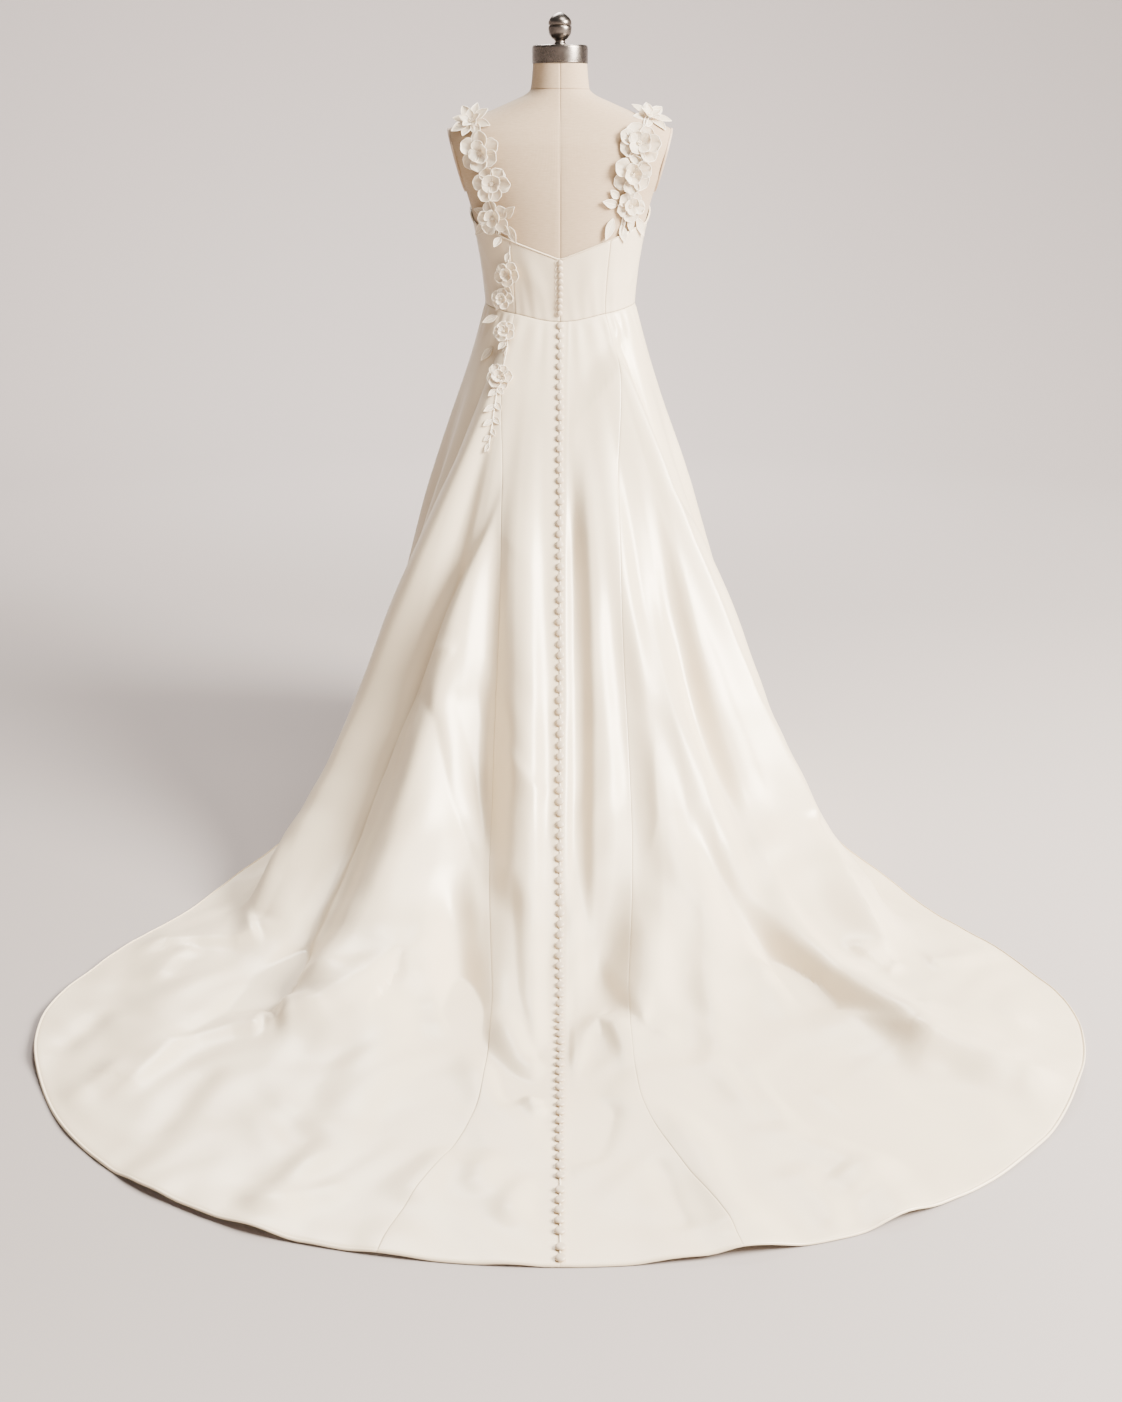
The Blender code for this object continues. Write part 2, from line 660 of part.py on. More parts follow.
def build_skirt(satin):
    """Five panels from the waist seam to the hem, the back ones running into the train."""
    panels = (
        ("skirt_back_left", lambda q: -gore_seam(q), lambda q: 0.0, 9),
        ("skirt_back_right", lambda q: 0.0, gore_seam, 9),
        ("skirt_side_left", lambda q: -side_seam(q), lambda q: -gore_seam(q), 21),
        ("skirt_side_right", gore_seam, side_seam, 21),
        ("skirt_front", side_seam, lambda q: 360 - side_seam(q), 20),
    )
    made = []
    for name, start, end, columns in panels:
        outer, inner = [], []
        for along in SKIRT_ROWS:
            radius = max(plain_skirt_point(start(along), along).xy.length, 0.1)
            trim = math.degrees(SEAM_GAP / 2 / radius)
            first, last = start(along) + trim, end(along) - trim
            placket = math.degrees(PLACKET_HALF_WIDTH / radius)
            turns = [first + (last - first) * c / columns for c in range(columns + 1)]
            if end(along) == 0:
                turns = [first + (last - placket - first) * c / (columns - 1) for c in range(columns)] + [last]
            if start(along) == 0:
                turns = [first] + [first + placket + (last - placket - first) * c / (columns - 1) for c in range(columns)]
            outer.append([skirt_point(a, along) for a in turns])
            inner.append([skirt_inner_point(a, along) for a in turns])
        made.append(wall_solid(name, outer, inner, satin))
    return made


def running_lengths(spots):
    lengths = [0.0]
    for before, after in zip(spots, spots[1:]):
        lengths.append(lengths[-1] + (after - before).length)
    return lengths


def frame_along(spots, distance):
    """The point, outward normal and running direction at a distance down a centre back line."""
    lengths = running_lengths(spots)
    k = 1
    while k < len(lengths) - 1 and lengths[k] < distance:
        k += 1
    down = (spots[k] - spots[k - 1]).normalized()
    spot = spots[k - 1] + down * (distance - lengths[k - 1])
    return spot, down.cross(Vector((1, 0, 0))).normalized(), down


def build_button_run(name, distances, radius, line, material):
    """A narrow rouleau cord with domed buttons on it, as one strand laid on a centre back line."""
    points, rings = [], []
    for distance in distances:
        for step, half_width, height in (
            (-1, CORD_HALF_WIDTH, CORD_HEIGHT),
            (-0.46, 0.88 * radius, 0.88 * BUTTON_DOME),
            (0.46, 0.88 * radius, 0.88 * BUTTON_DOME),
            (1, CORD_HALF_WIDTH, CORD_HEIGHT),
        ):
            spot, normal, down = frame_along(line, distance + step * radius)
            across = down.cross(normal).normalized()
            rings.append(list(range(len(points), len(points) + 4)))
            for side, up in ((-1, 0), (-0.55, 1), (0.55, 1), (1, 0)):
                points.append(spot + across * side * half_width + normal * (BUTTON_LIFT + up * height))
    return add_solid(name, points, ring_faces(rings), material, 80)


def build_buttons(covered):
    """Covered buttons down the centre back, nine on the bodice and the rest to the hem."""
    line = [bodice_point(0, 1 - r / BODICE_ROWS, CLOTH) for r in range(BODICE_ROWS + 1)]
    pitch = (running_lengths(line)[-1] - 0.012) / BODICE_BUTTONS
    distances = [0.0085 + pitch * k for k in range(BODICE_BUTTONS)]
    build_button_run("buttons_bodice", distances, BODICE_BUTTON, line, covered)

    line = [skirt_point(0, along) for along in SKIRT_ROWS]
    distances = []
    for k in range(SKIRT_BUTTONS):
        gaps = sum(1 for count in BUTTONS_BEFORE_GAP if k >= count)
        distances.append(0.010 + SKIRT_BUTTON_PITCH * k + BUTTON_GAP * gaps)
    room = running_lengths(line)[-1] - 0.014 - distances[-1]
    distances = [d * (1 + room / distances[-1]) for d in distances]
    each = SKIRT_BUTTONS // BUTTON_RUNS
    for run in range(BUTTON_RUNS):
        chosen = distances[run * each:(run + 1) * each]
        build_button_run(f"buttons_skirt_{run + 1}", chosen, SKIRT_BUTTON, line, covered)


def surface_tree(objects):
    """A tree that finds where a straight line meets any of these objects."""
    points, faces = [], []
    for obj in objects:
        first = len(points)
        points += [v.co.copy() for v in obj.data.vertices]
        faces += [tuple(first + v for v in face.vertices) for face in obj.data.polygons]
    return BVHTree.FromPolygons(points, faces)


def seat_on(tree, across, height, side):
    """Where something placed by its x and height rests, seen from the back or the front."""
    facing = -1 if side == "back" else 1
    spot, normal, _, _ = tree.ray_cast(Vector((across, 2.5 * facing, height)), Vector((0, -facing, 0)))
    if spot is None:
        spot, normal, _, _ = tree.find_nearest(Vector((across, 0.05 * facing, height)))
    if normal.y * facing < 0:
        normal = -normal
    return spot, normal


def raised(tree, point, normal, clear):
    """The point, moved out along the normal until it clears what is under it."""
    far = 0.12
    hit, _, _, distance = tree.ray_cast(point + normal * far, -normal, 2 * far)
    if hit is None or distance > far + clear:
        return point
    return point + normal * (far - distance + clear)


def strip_solid(name, rows, outs, tree, material, clear=APPLIQUE_CLEAR):
    """A thin strip whose rows are pushed out until nothing under it comes through."""
    for _ in range(3):
        lifts = [0.0] * len(rows)
        for k in range(len(rows) - 1):
            deep = 0.0
            for share in (0, 0.25, 0.5, 0.75, 1):
                for across in (0, 0.5, 1):
                    first = rows[k][0].lerp(rows[k][-1], across)
                    second = rows[k + 1][0].lerp(rows[k + 1][-1], across)
                    out = outs[k].lerp(outs[k + 1], share).normalized()
                    spot = first.lerp(second, share)
                    deep = max(deep, (raised(tree, spot, out, clear) - spot).dot(out))
            lifts[k] = max(lifts[k], deep)
            lifts[k + 1] = max(lifts[k + 1], deep)
        rows = [[p + out * lift for p in row] for row, out, lift in zip(rows, outs, lifts)]
    outer = [[p + out * APPLIQUE for p in row] for row, out in zip(rows, outs)]
    return wall_solid(name, outer, rows, material)


def top_edge_spot(across, side):
    """The point of the bodice's top edge at this x, at the back or the front."""
    low, high = (0.0, 90.0) if side == "back" else (180.0, 90.0)
    for _ in range(30):
        middle = (low + high) / 2
        if bodice_point(middle, 1, CLOTH / 4).x < abs(across):
            low = middle
        else:
            high = middle
    spot = bodice_point(low, 1, CLOTH / 4)
    return Vector((across, spot.y, spot.z + SEAM_GAP))


def build_strap(name, side, tree, ribbon):
    """A ribbon from the back edge of the bodice over the shoulder to its front edge."""
    edges = (-STRAP_HALF_WIDTH, STRAP_HALF_WIDTH)
    first, last = STRAP_PATH[0].turn, STRAP_PATH[-1].turn
    rows = [[top_edge_spot(side * STRAP_FEET[0] + edge, "back") for edge in edges]]
    outs = [Vector((0, -1, 0))]
    for k in range(STRAP_STATIONS):
        turn = first + (last - first) * k / (STRAP_STATIONS - 1)
        middle = side * curve_at(STRAP_PATH, turn)
        out = Vector((0, -math.cos(math.radians(turn)), math.sin(math.radians(turn))))
        starts = [Vector((middle + edge, 0, STRAP_PIVOT)) + out for edge in edges]
        rows.append([tree.ray_cast(start, -out)[0] + out * STRAP_CLEAR for start in starts])
        outs.append(out)
    rows.append([top_edge_spot(side * STRAP_FEET[1] + edge, "front") for edge in edges])
    outs.append(Vector((0, 1, 0)))
    return strip_solid(name, rows, outs, tree, ribbon, STRAP_CLEAR)


def petal_ring(flower, share, seat, normal, tree, lift):
    """One ring of a flower's lower side: the middle is a point, and only the rim follows the petals."""
    down = (Vector((0, 0, -1)) - normal * normal.dot(Vector((0, 0, -1)))).normalized()
    across = normal.cross(down)
    count = flower.petals * 4 if share else 1
    outline = (PETAL_WAIST, 0.94, 1.0, 0.94)
    ring = []
    for k in range(count):
        angle = 2 * math.pi * (k + 0.5) / count
        reach = flower.radius * share * (outline[k % 4] if share == 1 else 1)
        spread = across * math.cos(angle) + down * math.sin(angle)
        rise = lift + flower.tilt * reach * math.sin(angle) + PETAL_CUP * reach * reach / flower.radius
        spot = seat + spread * reach + normal * rise
        ring.append(raised(tree, spot, normal, APPLIQUE_CLEAR) if share == 1 else spot)
    return ring


def build_flower(flower, tree, material):
    """One fabric flower: a cupped ring of petals fused at the middle, which rests on what is under it."""
    seat, normal = seat_on(tree, flower.across, flower.height, flower.side)
    facing = -1 if flower.side == "back" else 1
    normal = (normal + Vector((0, 0.6 * facing, 0.1))).normalized()
    lift = -0.01
    for share in (0, 0.1, 0.2, 0.3, 0.4, 0.45):
        for spot in petal_ring(flower, share, seat, normal, tree, -0.01):
            lift = max(lift, (raised(tree, spot, normal, STITCH_GAP) - spot).dot(normal) - 0.01)
    lower = [petal_ring(flower, share, seat, normal, tree, lift) for share in (0, 0.45, 1)]
    points, rings = [], []
    for ring in lower:
        rings.append(list(range(len(points), len(points) + len(ring))))
        points += ring
    for ring in reversed(lower):
        rings.append(list(range(len(points), len(points) + len(ring))))
        centre_rise = 0.0035 if len(ring) == 1 else APPLIQUE
        points += [p + normal * centre_rise for p in ring]
    return add_solid(flower.name, points, ring_faces(rings), material, 60)


def build_leaf(leaf, tree, material):
    """One pointed leaf lying on the cloth or the form, with its tip turned up a little."""
    seat, normal = seat_on(tree, leaf.across, leaf.height, "back")
    heading = math.radians(leaf.heading)
    along = Vector((math.cos(heading), 0, math.sin(heading)))
    along = (along - normal * normal.dot(along)).normalized()
    across = normal.cross(along)
    rows = []
    for share, width in ((0.0, 0.16), (0.25, 0.8), (0.5, 1.0), (0.78, 0.66), (1.0, 0.12)):
        spot = seat + along * share * leaf.length + normal * (APPLIQUE_CLEAR + 0.005 * share * share)
        rows.append([spot + across * side * width * leaf.half_width for side in (-1, 1)])
    return strip_solid(leaf.name, rows, [normal] * len(rows), tree, material)


def build_stem(name, stems, tree, material):
    """A stem whose leaf lobes are one with it, laid on the cloth."""
    rows, outs = [], []
    for stem in stems:
        seat, normal = seat_on(tree, stem.across, stem.height, "back")
        across = (Vector((1, 0, 0)) - normal * normal.x).normalized()
        rows.append([seat + across * side * stem.half_width for side in (-1, 1)])
        outs.append(normal)
    return strip_solid(name, rows, outs, tree, material)


def build_flowers_and_straps(torso, bodice, skirt, ribbon, organza):
    body = surface_tree([torso])
    straps = [build_strap("strap_left", -1, body, ribbon), build_strap("strap_right", 1, body, ribbon)]
    cloth = surface_tree([torso, *bodice, *skirt])
    stems = [build_stem("trail_stem_upper", TRAIL, cloth, ribbon)]
    stems.append(build_stem("trail_stem_lower", LOWER_TRAIL, cloth, ribbon))
    under = surface_tree([torso, *bodice, *skirt, *straps, *stems])
    for flower in FLOWERS:
        build_flower(flower, under, organza)
    for leaf in LEAVES:
        build_leaf(leaf, under, organza)


def main():
    clear_scene()
    satin = make_material("ivory_satin", (0.86, 0.82, 0.75), 0.36)
    covered = make_material("covered_button", (0.84, 0.79, 0.71), 0.42)
    organza = make_material("organza_flower", (0.88, 0.83, 0.75), 0.55)
    ribbon = make_material("strap_ribbon", (0.84, 0.78, 0.69), 0.55)
    linen = make_material("form_linen", (0.72, 0.62, 0.52), 0.85)
    board = make_material("arm_plate_board", (0.52, 0.40, 0.29), 0.60)
    metal = make_material("brushed_nickel", (0.42, 0.39, 0.35), 0.30, 1.0)
    iron = make_material("base_iron", (0.10, 0.10, 0.10), 0.55, 0.5)
    torso = build_form(linen, board, metal, iron)
    bodice = build_bodice(satin)
    skirt = build_skirt(satin)
    build_buttons(covered)
    build_flowers_and_straps(torso, bodice, skirt, ribbon, organza)


main()
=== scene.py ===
import math
import random

import bmesh
import bpy
import numpy as np
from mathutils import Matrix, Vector
from mathutils.bvhtree import BVHTree


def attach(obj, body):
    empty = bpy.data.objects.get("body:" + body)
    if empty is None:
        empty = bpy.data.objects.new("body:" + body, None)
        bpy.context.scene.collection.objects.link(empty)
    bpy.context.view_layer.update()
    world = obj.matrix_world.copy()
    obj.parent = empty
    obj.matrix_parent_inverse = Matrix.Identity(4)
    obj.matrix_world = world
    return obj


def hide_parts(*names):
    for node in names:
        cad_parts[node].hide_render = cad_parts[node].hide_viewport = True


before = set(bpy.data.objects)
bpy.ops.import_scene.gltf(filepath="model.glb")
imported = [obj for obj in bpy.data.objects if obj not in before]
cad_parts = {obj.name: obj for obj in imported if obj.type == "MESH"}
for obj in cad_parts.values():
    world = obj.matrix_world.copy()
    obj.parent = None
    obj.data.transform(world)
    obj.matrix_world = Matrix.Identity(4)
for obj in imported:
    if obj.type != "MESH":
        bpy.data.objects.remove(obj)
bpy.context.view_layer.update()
dice = random.Random(7)
print("frame loaded:", len(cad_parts), "nodes")


# mesh helpers

def curveAt(rows, where):
    places = np.array([row[0] for row in rows], float)
    values = np.array([row[1] for row in rows], float)
    steps = np.diff(places)
    rises = np.diff(values) / steps
    slopes = np.zeros(len(places))
    before, after = rises[:-1], rises[1:]
    same = before * after > 0
    slopes[1:-1][same] = 2 * before[same] * after[same] / (before[same] + after[same])
    where = np.clip(np.asarray(where, float), places[0], places[-1])
    i = np.clip(np.searchsorted(places, where) - 1, 0, len(places) - 2)
    t = (where - places[i]) / steps[i]
    return ((2 * t**3 - 3 * t**2 + 1) * values[i] + (t**3 - 2 * t**2 + t) * steps[i] * slopes[i]
            + (3 * t**2 - 2 * t**3) * values[i + 1] + (t**3 - t**2) * steps[i] * slopes[i + 1])


def smoothStep(low, high, value):
    t = np.clip((value - low) / (high - low), 0, 1)
    return t * t * (3 - 2 * t)


def unit(vectors):
    return vectors / np.maximum(np.linalg.norm(vectors, axis=-1, keepdims=True), 1e-12)


def gridNormals(grid, guide):
    across = np.gradient(grid, axis=1)
    down = np.gradient(grid, axis=0)
    normals = unit(np.cross(down, across))
    return normals if np.sum(normals * guide) > 0 else -normals


def clothArea(grid):
    over, down = grid[:-1, 1:] - grid[:-1, :-1], grid[1:, :-1] - grid[:-1, :-1]
    return float(np.linalg.norm(np.cross(over, down), axis=-1).sum())


def gridFaces(rows, cols):
    r, c = np.meshgrid(np.arange(rows - 1), np.arange(cols - 1), indexing="ij")
    first = r * cols + c
    return np.stack([first, first + 1, first + cols + 1, first + cols], -1).reshape(-1, 4)


def evenRings(rows, cols):
    return [range(r * cols, (r + 1) * cols) for r in range(rows)]


def joinRings(rings, ends=True):  # a ring of one point is a pole
    faces = []
    for low, high in zip(rings, rings[1:]):
        count = max(len(low), len(high))
        for k in range(count):
            after = (k + 1) % count
            quad = (low[k % len(low)], low[after % len(low)], high[after % len(high)], high[k % len(high)])
            faces.append(tuple(dict.fromkeys(quad)))
    if ends:
        faces += [tuple(ring) for ring in (rings[0][::-1], rings[-1]) if len(ring) > 1]
    return faces


weaveRadius = {"body": 0.15, "neck": 0.058, "turned": 0.055}  # lays the weave round each at its own scale


class Heap:  # gathers the points and faces of one piece
    def __init__(self):
        self.points, self.faces, self.uvs, self.slots, self.count = [], [], [], [], 0

    def add(self, points, faces, uvs=None, slot=0):
        points = np.asarray(points, float).reshape(-1, 3)
        uvs = points[:, :2] if uvs is None else np.asarray(uvs, float).reshape(-1, 2)
        self.points.append(points)
        self.uvs.append(uvs)
        for face in faces:
            self.faces.append(tuple(int(v) + self.count for v in face))
            self.slots.append(slot)
        self.count += len(points)


def makePiece(name, heap, materials, sharp=40, recalc=False):
    mesh = bpy.data.meshes.new(name)
    points = np.concatenate(heap.points)
    mesh.from_pydata(points.tolist(), [], heap.faces)
    layer = mesh.uv_layers.new(name="cloth")
    loops = np.zeros(len(mesh.loops), np.int32)
    mesh.loops.foreach_get("vertex_index", loops)
    layer.data.foreach_set("uv", np.concatenate(heap.uvs)[loops].astype(np.float32).ravel())
    mesh.polygons.foreach_set("material_index", np.array(heap.slots, np.int32))
    if recalc:
        work = bmesh.new()
        work.from_mesh(mesh)
        bmesh.ops.recalc_face_normals(work, faces=work.faces)
        work.to_mesh(mesh)
        work.free()
    mesh.shade_smooth()
    mesh.set_sharp_from_angle(angle=math.radians(sharp))
    for material in materials:
        mesh.materials.append(material)
    piece = bpy.data.objects.new(name, mesh)
    bpy.context.scene.collection.objects.link(piece)
    return piece


def dress(piece, slotName, *nodes):
    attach(piece, "root")
    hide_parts(*nodes)
    return piece


def shellInto(heap, outer, inner, normals, uvs):  # inner may have half the rows and columns
    rows, cols = outer.shape[:2]
    corner = outer.reshape(-1, 3)
    top = gridFaces(rows, cols)
    a, b, c, d = corner[top[len(top) // 2]]
    turned = np.dot(np.cross(c - a, d - b), normals.reshape(-1, 3)[top[len(top) // 2][0]]) < 0
    below = gridFaces(*inner.shape[:2])
    step = 1 if inner.shape == outer.shape else 2
    innerCols = inner.shape[1]
    start = rows * cols
    rim = [(0, c) for c in range(cols)] + [(r, cols - 1) for r in range(1, rows)]
    rim += [(rows - 1, c) for c in range(cols - 2, -1, -1)] + [(r, 0) for r in range(rows - 2, 0, -1)]
    edge = []
    for k in range(0, len(rim), step):
        run = [rim[(k + m) % len(rim)] for m in range(step + 1)]
        over = [r * cols + c for r, c in run]
        under = [start + (r // step) * innerCols + c // step for r, c in (run[-1], run[0])]
        edge.append(over[::-1] + under[::-1])
    top, below = (top[:, ::-1], below + start) if turned else (top, below[:, ::-1] + start)
    edge = [face[::-1] for face in edge] if turned else edge
    pick = uvs if step == 1 else uvs[::2, ::2]
    heap.add(np.concatenate([corner, inner.reshape(-1, 3)]), top.tolist() + below.tolist() + edge,
             np.concatenate([uvs.reshape(-1, 2), pick.reshape(-1, 2)]))


def tubeInto(heap, path, radius, sides=6, slot=0):
    path = np.asarray(path, float)
    radii = np.broadcast_to(np.asarray(radius, float), (len(path),))
    ahead = unit(np.gradient(path, axis=0))
    side = np.cross(ahead[0], (0.3, 0.5, 0.81))
    points = []
    for spot, forward, reach in zip(path, ahead, radii):
        side = unit(side - forward * np.dot(side, forward))
        up = np.cross(forward, side)
        for s in range(sides):
            angle = 2 * math.pi * s / sides
            points.append(spot + reach * (math.cos(angle) * side + math.sin(angle) * up))
    heap.add(points, joinRings(evenRings(len(path), sides)), slot=slot)


def turnedInto(heap, profile, segments):
    rings, points = [], []
    for radius, height in profile:
        count = segments if radius > 1e-6 else 1
        rings.append(range(len(points), len(points) + count))
        for k in range(count):
            angle = 2 * math.pi * k / segments
            points.append((radius * math.cos(angle), radius * math.sin(angle), height))
    heap.add(points, joinRings(rings), [(math.atan2(y, x) * weaveRadius["turned"], z) for x, y, z in points])


def ringsInto(heap, points, turns, radius):
    rows, cols = points.shape[:2]
    uvs = np.stack([np.broadcast_to(np.radians(turns)[None, :] * radius, (rows, cols)), points[..., 2]], -1)
    heap.add(points, joinRings(evenRings(rows, cols)), uvs)


# camera, floor and light

view = {"place": (0, -3.6, 1.45), "pitchDown": 15.913, "lens": 43.2, "shiftX": 0.0007, "shiftY": -0.0713}
studio = {
    "world": (1.0, 0.955, 0.92), "worldPower": 0.14,
    # floor tones near the middle and far out; the darker far tone is a painted fall-off of light
    "near": (0.36, 0.322, 0.305), "far": (0.34, 0.304, 0.29),
    "coveStart": 4.0, "coveRadius": 4.0, "wallTop": 4.6,
    "lamps": [  # name, place, aim, size, power, colour
        ("keyLamp", (4.1, -2.3, 3.3), (0, -0.7, 0.5), 2.6, 1850, (1.0, 0.945, 0.87)),
        ("topLamp", (1.2, -1.2, 4.2), (0, -1.0, 0.2), 1.6, 150, (1.0, 0.955, 0.90)),
        ("floorLamp", (-0.5, 3.4, 4.6), (-0.5, 3.4, 0.0), 2.6, 500, (1.0, 0.955, 0.93)),
        ("wallLampFar", (0.0, 2.6, 3.6), (0, 8.0, 1.8), 2.4, 420, (1.0, 0.955, 0.93)),
        ("wallLampNear", (0.0, -2.6, 3.6), (0, -8.0, 2.2), 2.4, 330, (1.0, 0.955, 0.93)),
        ("wallLampLeft", (-2.6, 0.0, 3.6), (-8.0, 0.0, 2.2), 2.4, 120, (1.0, 0.955, 0.93)),
        ("wallLampRight", (2.6, 0.0, 3.6), (8.0, 0.0, 2.2), 2.4, 430, (1.0, 0.955, 0.93)),
    ],
}


def aimed(place, aim):
    return (Vector(aim) - Vector(place)).to_track_quat("-Z", "Y").to_euler()


def makeCamera():
    data = bpy.data.cameras.new("photoCamera")
    data.lens, data.sensor_width, data.sensor_fit = view["lens"], 36, "AUTO"
    data.shift_x, data.shift_y = view["shiftX"], view["shiftY"]
    camera = bpy.data.objects.new("photoCamera", data)
    camera.location = view["place"]
    camera.rotation_euler = (math.radians(90 - view["pitchDown"]), 0, 0)
    bpy.context.scene.collection.objects.link(camera)
    bpy.context.scene.camera = camera


def makeLamps():
    for name, place, aim, size, power, colour in studio["lamps"]:
        data = bpy.data.lights.new(name, "AREA")
        data.shape, data.size, data.energy, data.color = "DISK", size, power, colour
        lamp = bpy.data.objects.new(name, data)
        lamp.location, lamp.rotation_euler = place, aimed(place, aim)
        bpy.context.scene.collection.objects.link(lamp)
    world = bpy.data.worlds.new("studioWorld")
    bpy.context.scene.world = world
    world.use_nodes = True
    back = world.node_tree.nodes["Background"]
    back.inputs[0].default_value = (*studio["world"], 1)
    back.inputs[1].default_value = studio["worldPower"]


makeCamera()
makeLamps()
print("camera and lamps placed")


# shader groups and materials

def newGroup(name, inputs, outputs):
    group = bpy.data.node_groups.new(name, "ShaderNodeTree")
    for label, kind, value in inputs:
        socket = group.interface.new_socket(name=label, in_out="INPUT", socket_type=kind)
        if value is not None:
            socket.default_value = value
    for label, kind in outputs:
        group.interface.new_socket(name=label, in_out="OUTPUT", socket_type=kind)
    return group, group.nodes.new("NodeGroupInput"), group.nodes.new("NodeGroupOutput")


def maths(tree, operation, first, second=None, clamp=False):
    node = tree.nodes.new("ShaderNodeMath")
    node.operation, node.use_clamp = operation, clamp
    for i, value in enumerate((first, second)):
        if value is None:
            continue
        if isinstance(value, (int, float)):
            node.inputs[i].default_value = value
        else:
            tree.links.new(value, node.inputs[i])
    return node.outputs[0]


def noiseNode(tree, vector, scale, detail=2.0, rough=0.5, stretch=None):
    if stretch:
        mapping = tree.nodes.new("ShaderNodeMapping")
        mapping.inputs["Scale"].default_value = stretch
        tree.links.new(vector, mapping.inputs["Vector"])
        vector = mapping.outputs[0]
    node = tree.nodes.new("ShaderNodeTexNoise")
    node.inputs["Detail"].default_value = detail
    node.inputs["Roughness"].default_value = rough
    tree.links.new(vector, node.inputs["Vector"])
    if isinstance(scale, (int, float)):
        node.inputs["Scale"].default_value = scale
    else:
        tree.links.new(scale, node.inputs["Scale"])
    return node.outputs["Fac"]


def makeWeaveGroup():
    group, enter, leave = newGroup(
        "threadWeave",
        [("Vector", "NodeSocketVector", None), ("Threads per metre", "NodeSocketFloat", 1500.0),
         ("Slub", "NodeSocketFloat", 0.3), ("Warp share", "NodeSocketFloat", 0.7)],
        [("Height", "NodeSocketFloat"), ("Slub mask", "NodeSocketFloat")])
    split = group.nodes.new("ShaderNodeSeparateXYZ")
    group.links.new(enter.outputs["Vector"], split.inputs[0])
    turn = maths(group, "MULTIPLY", enter.outputs["Threads per metre"], 2 * math.pi)
    warp = maths(group, "SINE", maths(group, "MULTIPLY", split.outputs[0], turn))
    weft = maths(group, "SINE", maths(group, "MULTIPLY", split.outputs[1], turn))
    slub = noiseNode(group, enter.outputs["Vector"], 90.0, 3, 0.6, (1.0, 6.0, 1.0))
    warpPart = maths(group, "MULTIPLY", warp, enter.outputs["Warp share"])
    weftPart = maths(group, "MULTIPLY", weft, maths(group, "SUBTRACT", 1.0, enter.outputs["Warp share"]))
    threads = maths(group, "ADD", warpPart, weftPart)
    lumps = maths(group, "MULTIPLY", slub, enter.outputs["Slub"])
    group.links.new(maths(group, "ADD", threads, lumps), leave.inputs["Height"])
    group.links.new(slub, leave.inputs["Slub mask"])
    return group


def makeSoftCreaseGroup():
    group, enter, leave = newGroup(
        "softCreases",
        [("Vector", "NodeSocketVector", None), ("Scale", "NodeSocketFloat", 7.0)],
        [("Height", "NodeSocketFloat"), ("Mottle", "NodeSocketFloat")])
    long = noiseNode(group, enter.outputs["Vector"], enter.outputs["Scale"], 3, 0.45, (1.0, 0.35, 1.0))
    fine = noiseNode(group, enter.outputs["Vector"], 34.0, 4, 0.55, (1.0, 0.6, 1.0))
    both = maths(group, "ADD", long, maths(group, "MULTIPLY", fine, 0.16))
    group.links.new(both, leave.inputs["Height"])
    group.links.new(noiseNode(group, enter.outputs["Vector"], 2.6, 4, 0.6), leave.inputs["Mottle"])
    return group


def makeBrushedGroup():
    group, enter, leave = newGroup(
        "brushedMarks",
        [("Vector", "NodeSocketVector", None), ("Scale", "NodeSocketFloat", 500.0)],
        [("Marks", "NodeSocketFloat"), ("Wear", "NodeSocketFloat")])
    marks = noiseNode(group, enter.outputs["Vector"], enter.outputs["Scale"], 3, 0.6, (0.04, 0.04, 1.0))
    wear = noiseNode(group, enter.outputs["Vector"], 38.0, 5, 0.65)
    group.links.new(marks, leave.inputs["Marks"])
    group.links.new(wear, leave.inputs["Wear"])
    return group


weaveGroup = makeWeaveGroup()
creaseGroup = makeSoftCreaseGroup()
brushedGroup = makeBrushedGroup()


def startMaterial(name, roughness, metallic=0.0, sheen=0.0, sheenRoughness=0.5, specular=0.5):
    material = bpy.data.materials.new(name)
    material.use_nodes = True
    shader = material.node_tree.nodes["Principled BSDF"]
    shader.inputs["Roughness"].default_value = roughness
    shader.inputs["Metallic"].default_value = metallic
    shader.inputs["Sheen Weight"].default_value = sheen
    shader.inputs["Sheen Roughness"].default_value = sheenRoughness
    shader.inputs["Specular IOR Level"].default_value = specular
    return material, material.node_tree, shader


def placeGroup(tree, group, vector, **values):
    node = tree.nodes.new("ShaderNodeGroup")
    node.node_tree = group
    tree.links.new(vector, node.inputs["Vector"])
    for label, value in values.items():
        node.inputs[label.replace("_", " ")].default_value = value
    return node


def clothVector(tree):
    node = tree.nodes.new("ShaderNodeUVMap")
    node.uv_map = "cloth"
    return node.outputs[0]


def objectVector(tree):
    return tree.nodes.new("ShaderNodeTexCoord").outputs["Object"]


def colourBy(tree, shader, factor, dark, light, low=0.35, high=0.65):
    node = tree.nodes.new("ShaderNodeValToRGB")
    for element, place, colour in zip(node.color_ramp.elements, (low, high), (dark, light)):
        element.position, element.color = place, (*colour, 1)
    tree.links.new(factor, node.inputs[0])
    tree.links.new(node.outputs[0], shader.inputs["Base Color"])


def addBump(tree, shader, layers):
    normal = None
    for height, strength, distance in layers:
        node = tree.nodes.new("ShaderNodeBump")
        node.inputs["Strength"].default_value = strength
        node.inputs["Distance"].default_value = distance
        tree.links.new(height, node.inputs["Height"])
        if normal:
            tree.links.new(normal, node.inputs["Normal"])
        normal = node.outputs[0]
    tree.links.new(normal, shader.inputs["Normal"])


def spread(tree, factor, low, high):
    node = tree.nodes.new("ShaderNodeMapRange")
    node.inputs["To Min"].default_value = low
    node.inputs["To Max"].default_value = high
    tree.links.new(factor, node.inputs["Value"])
    return node.outputs[0]


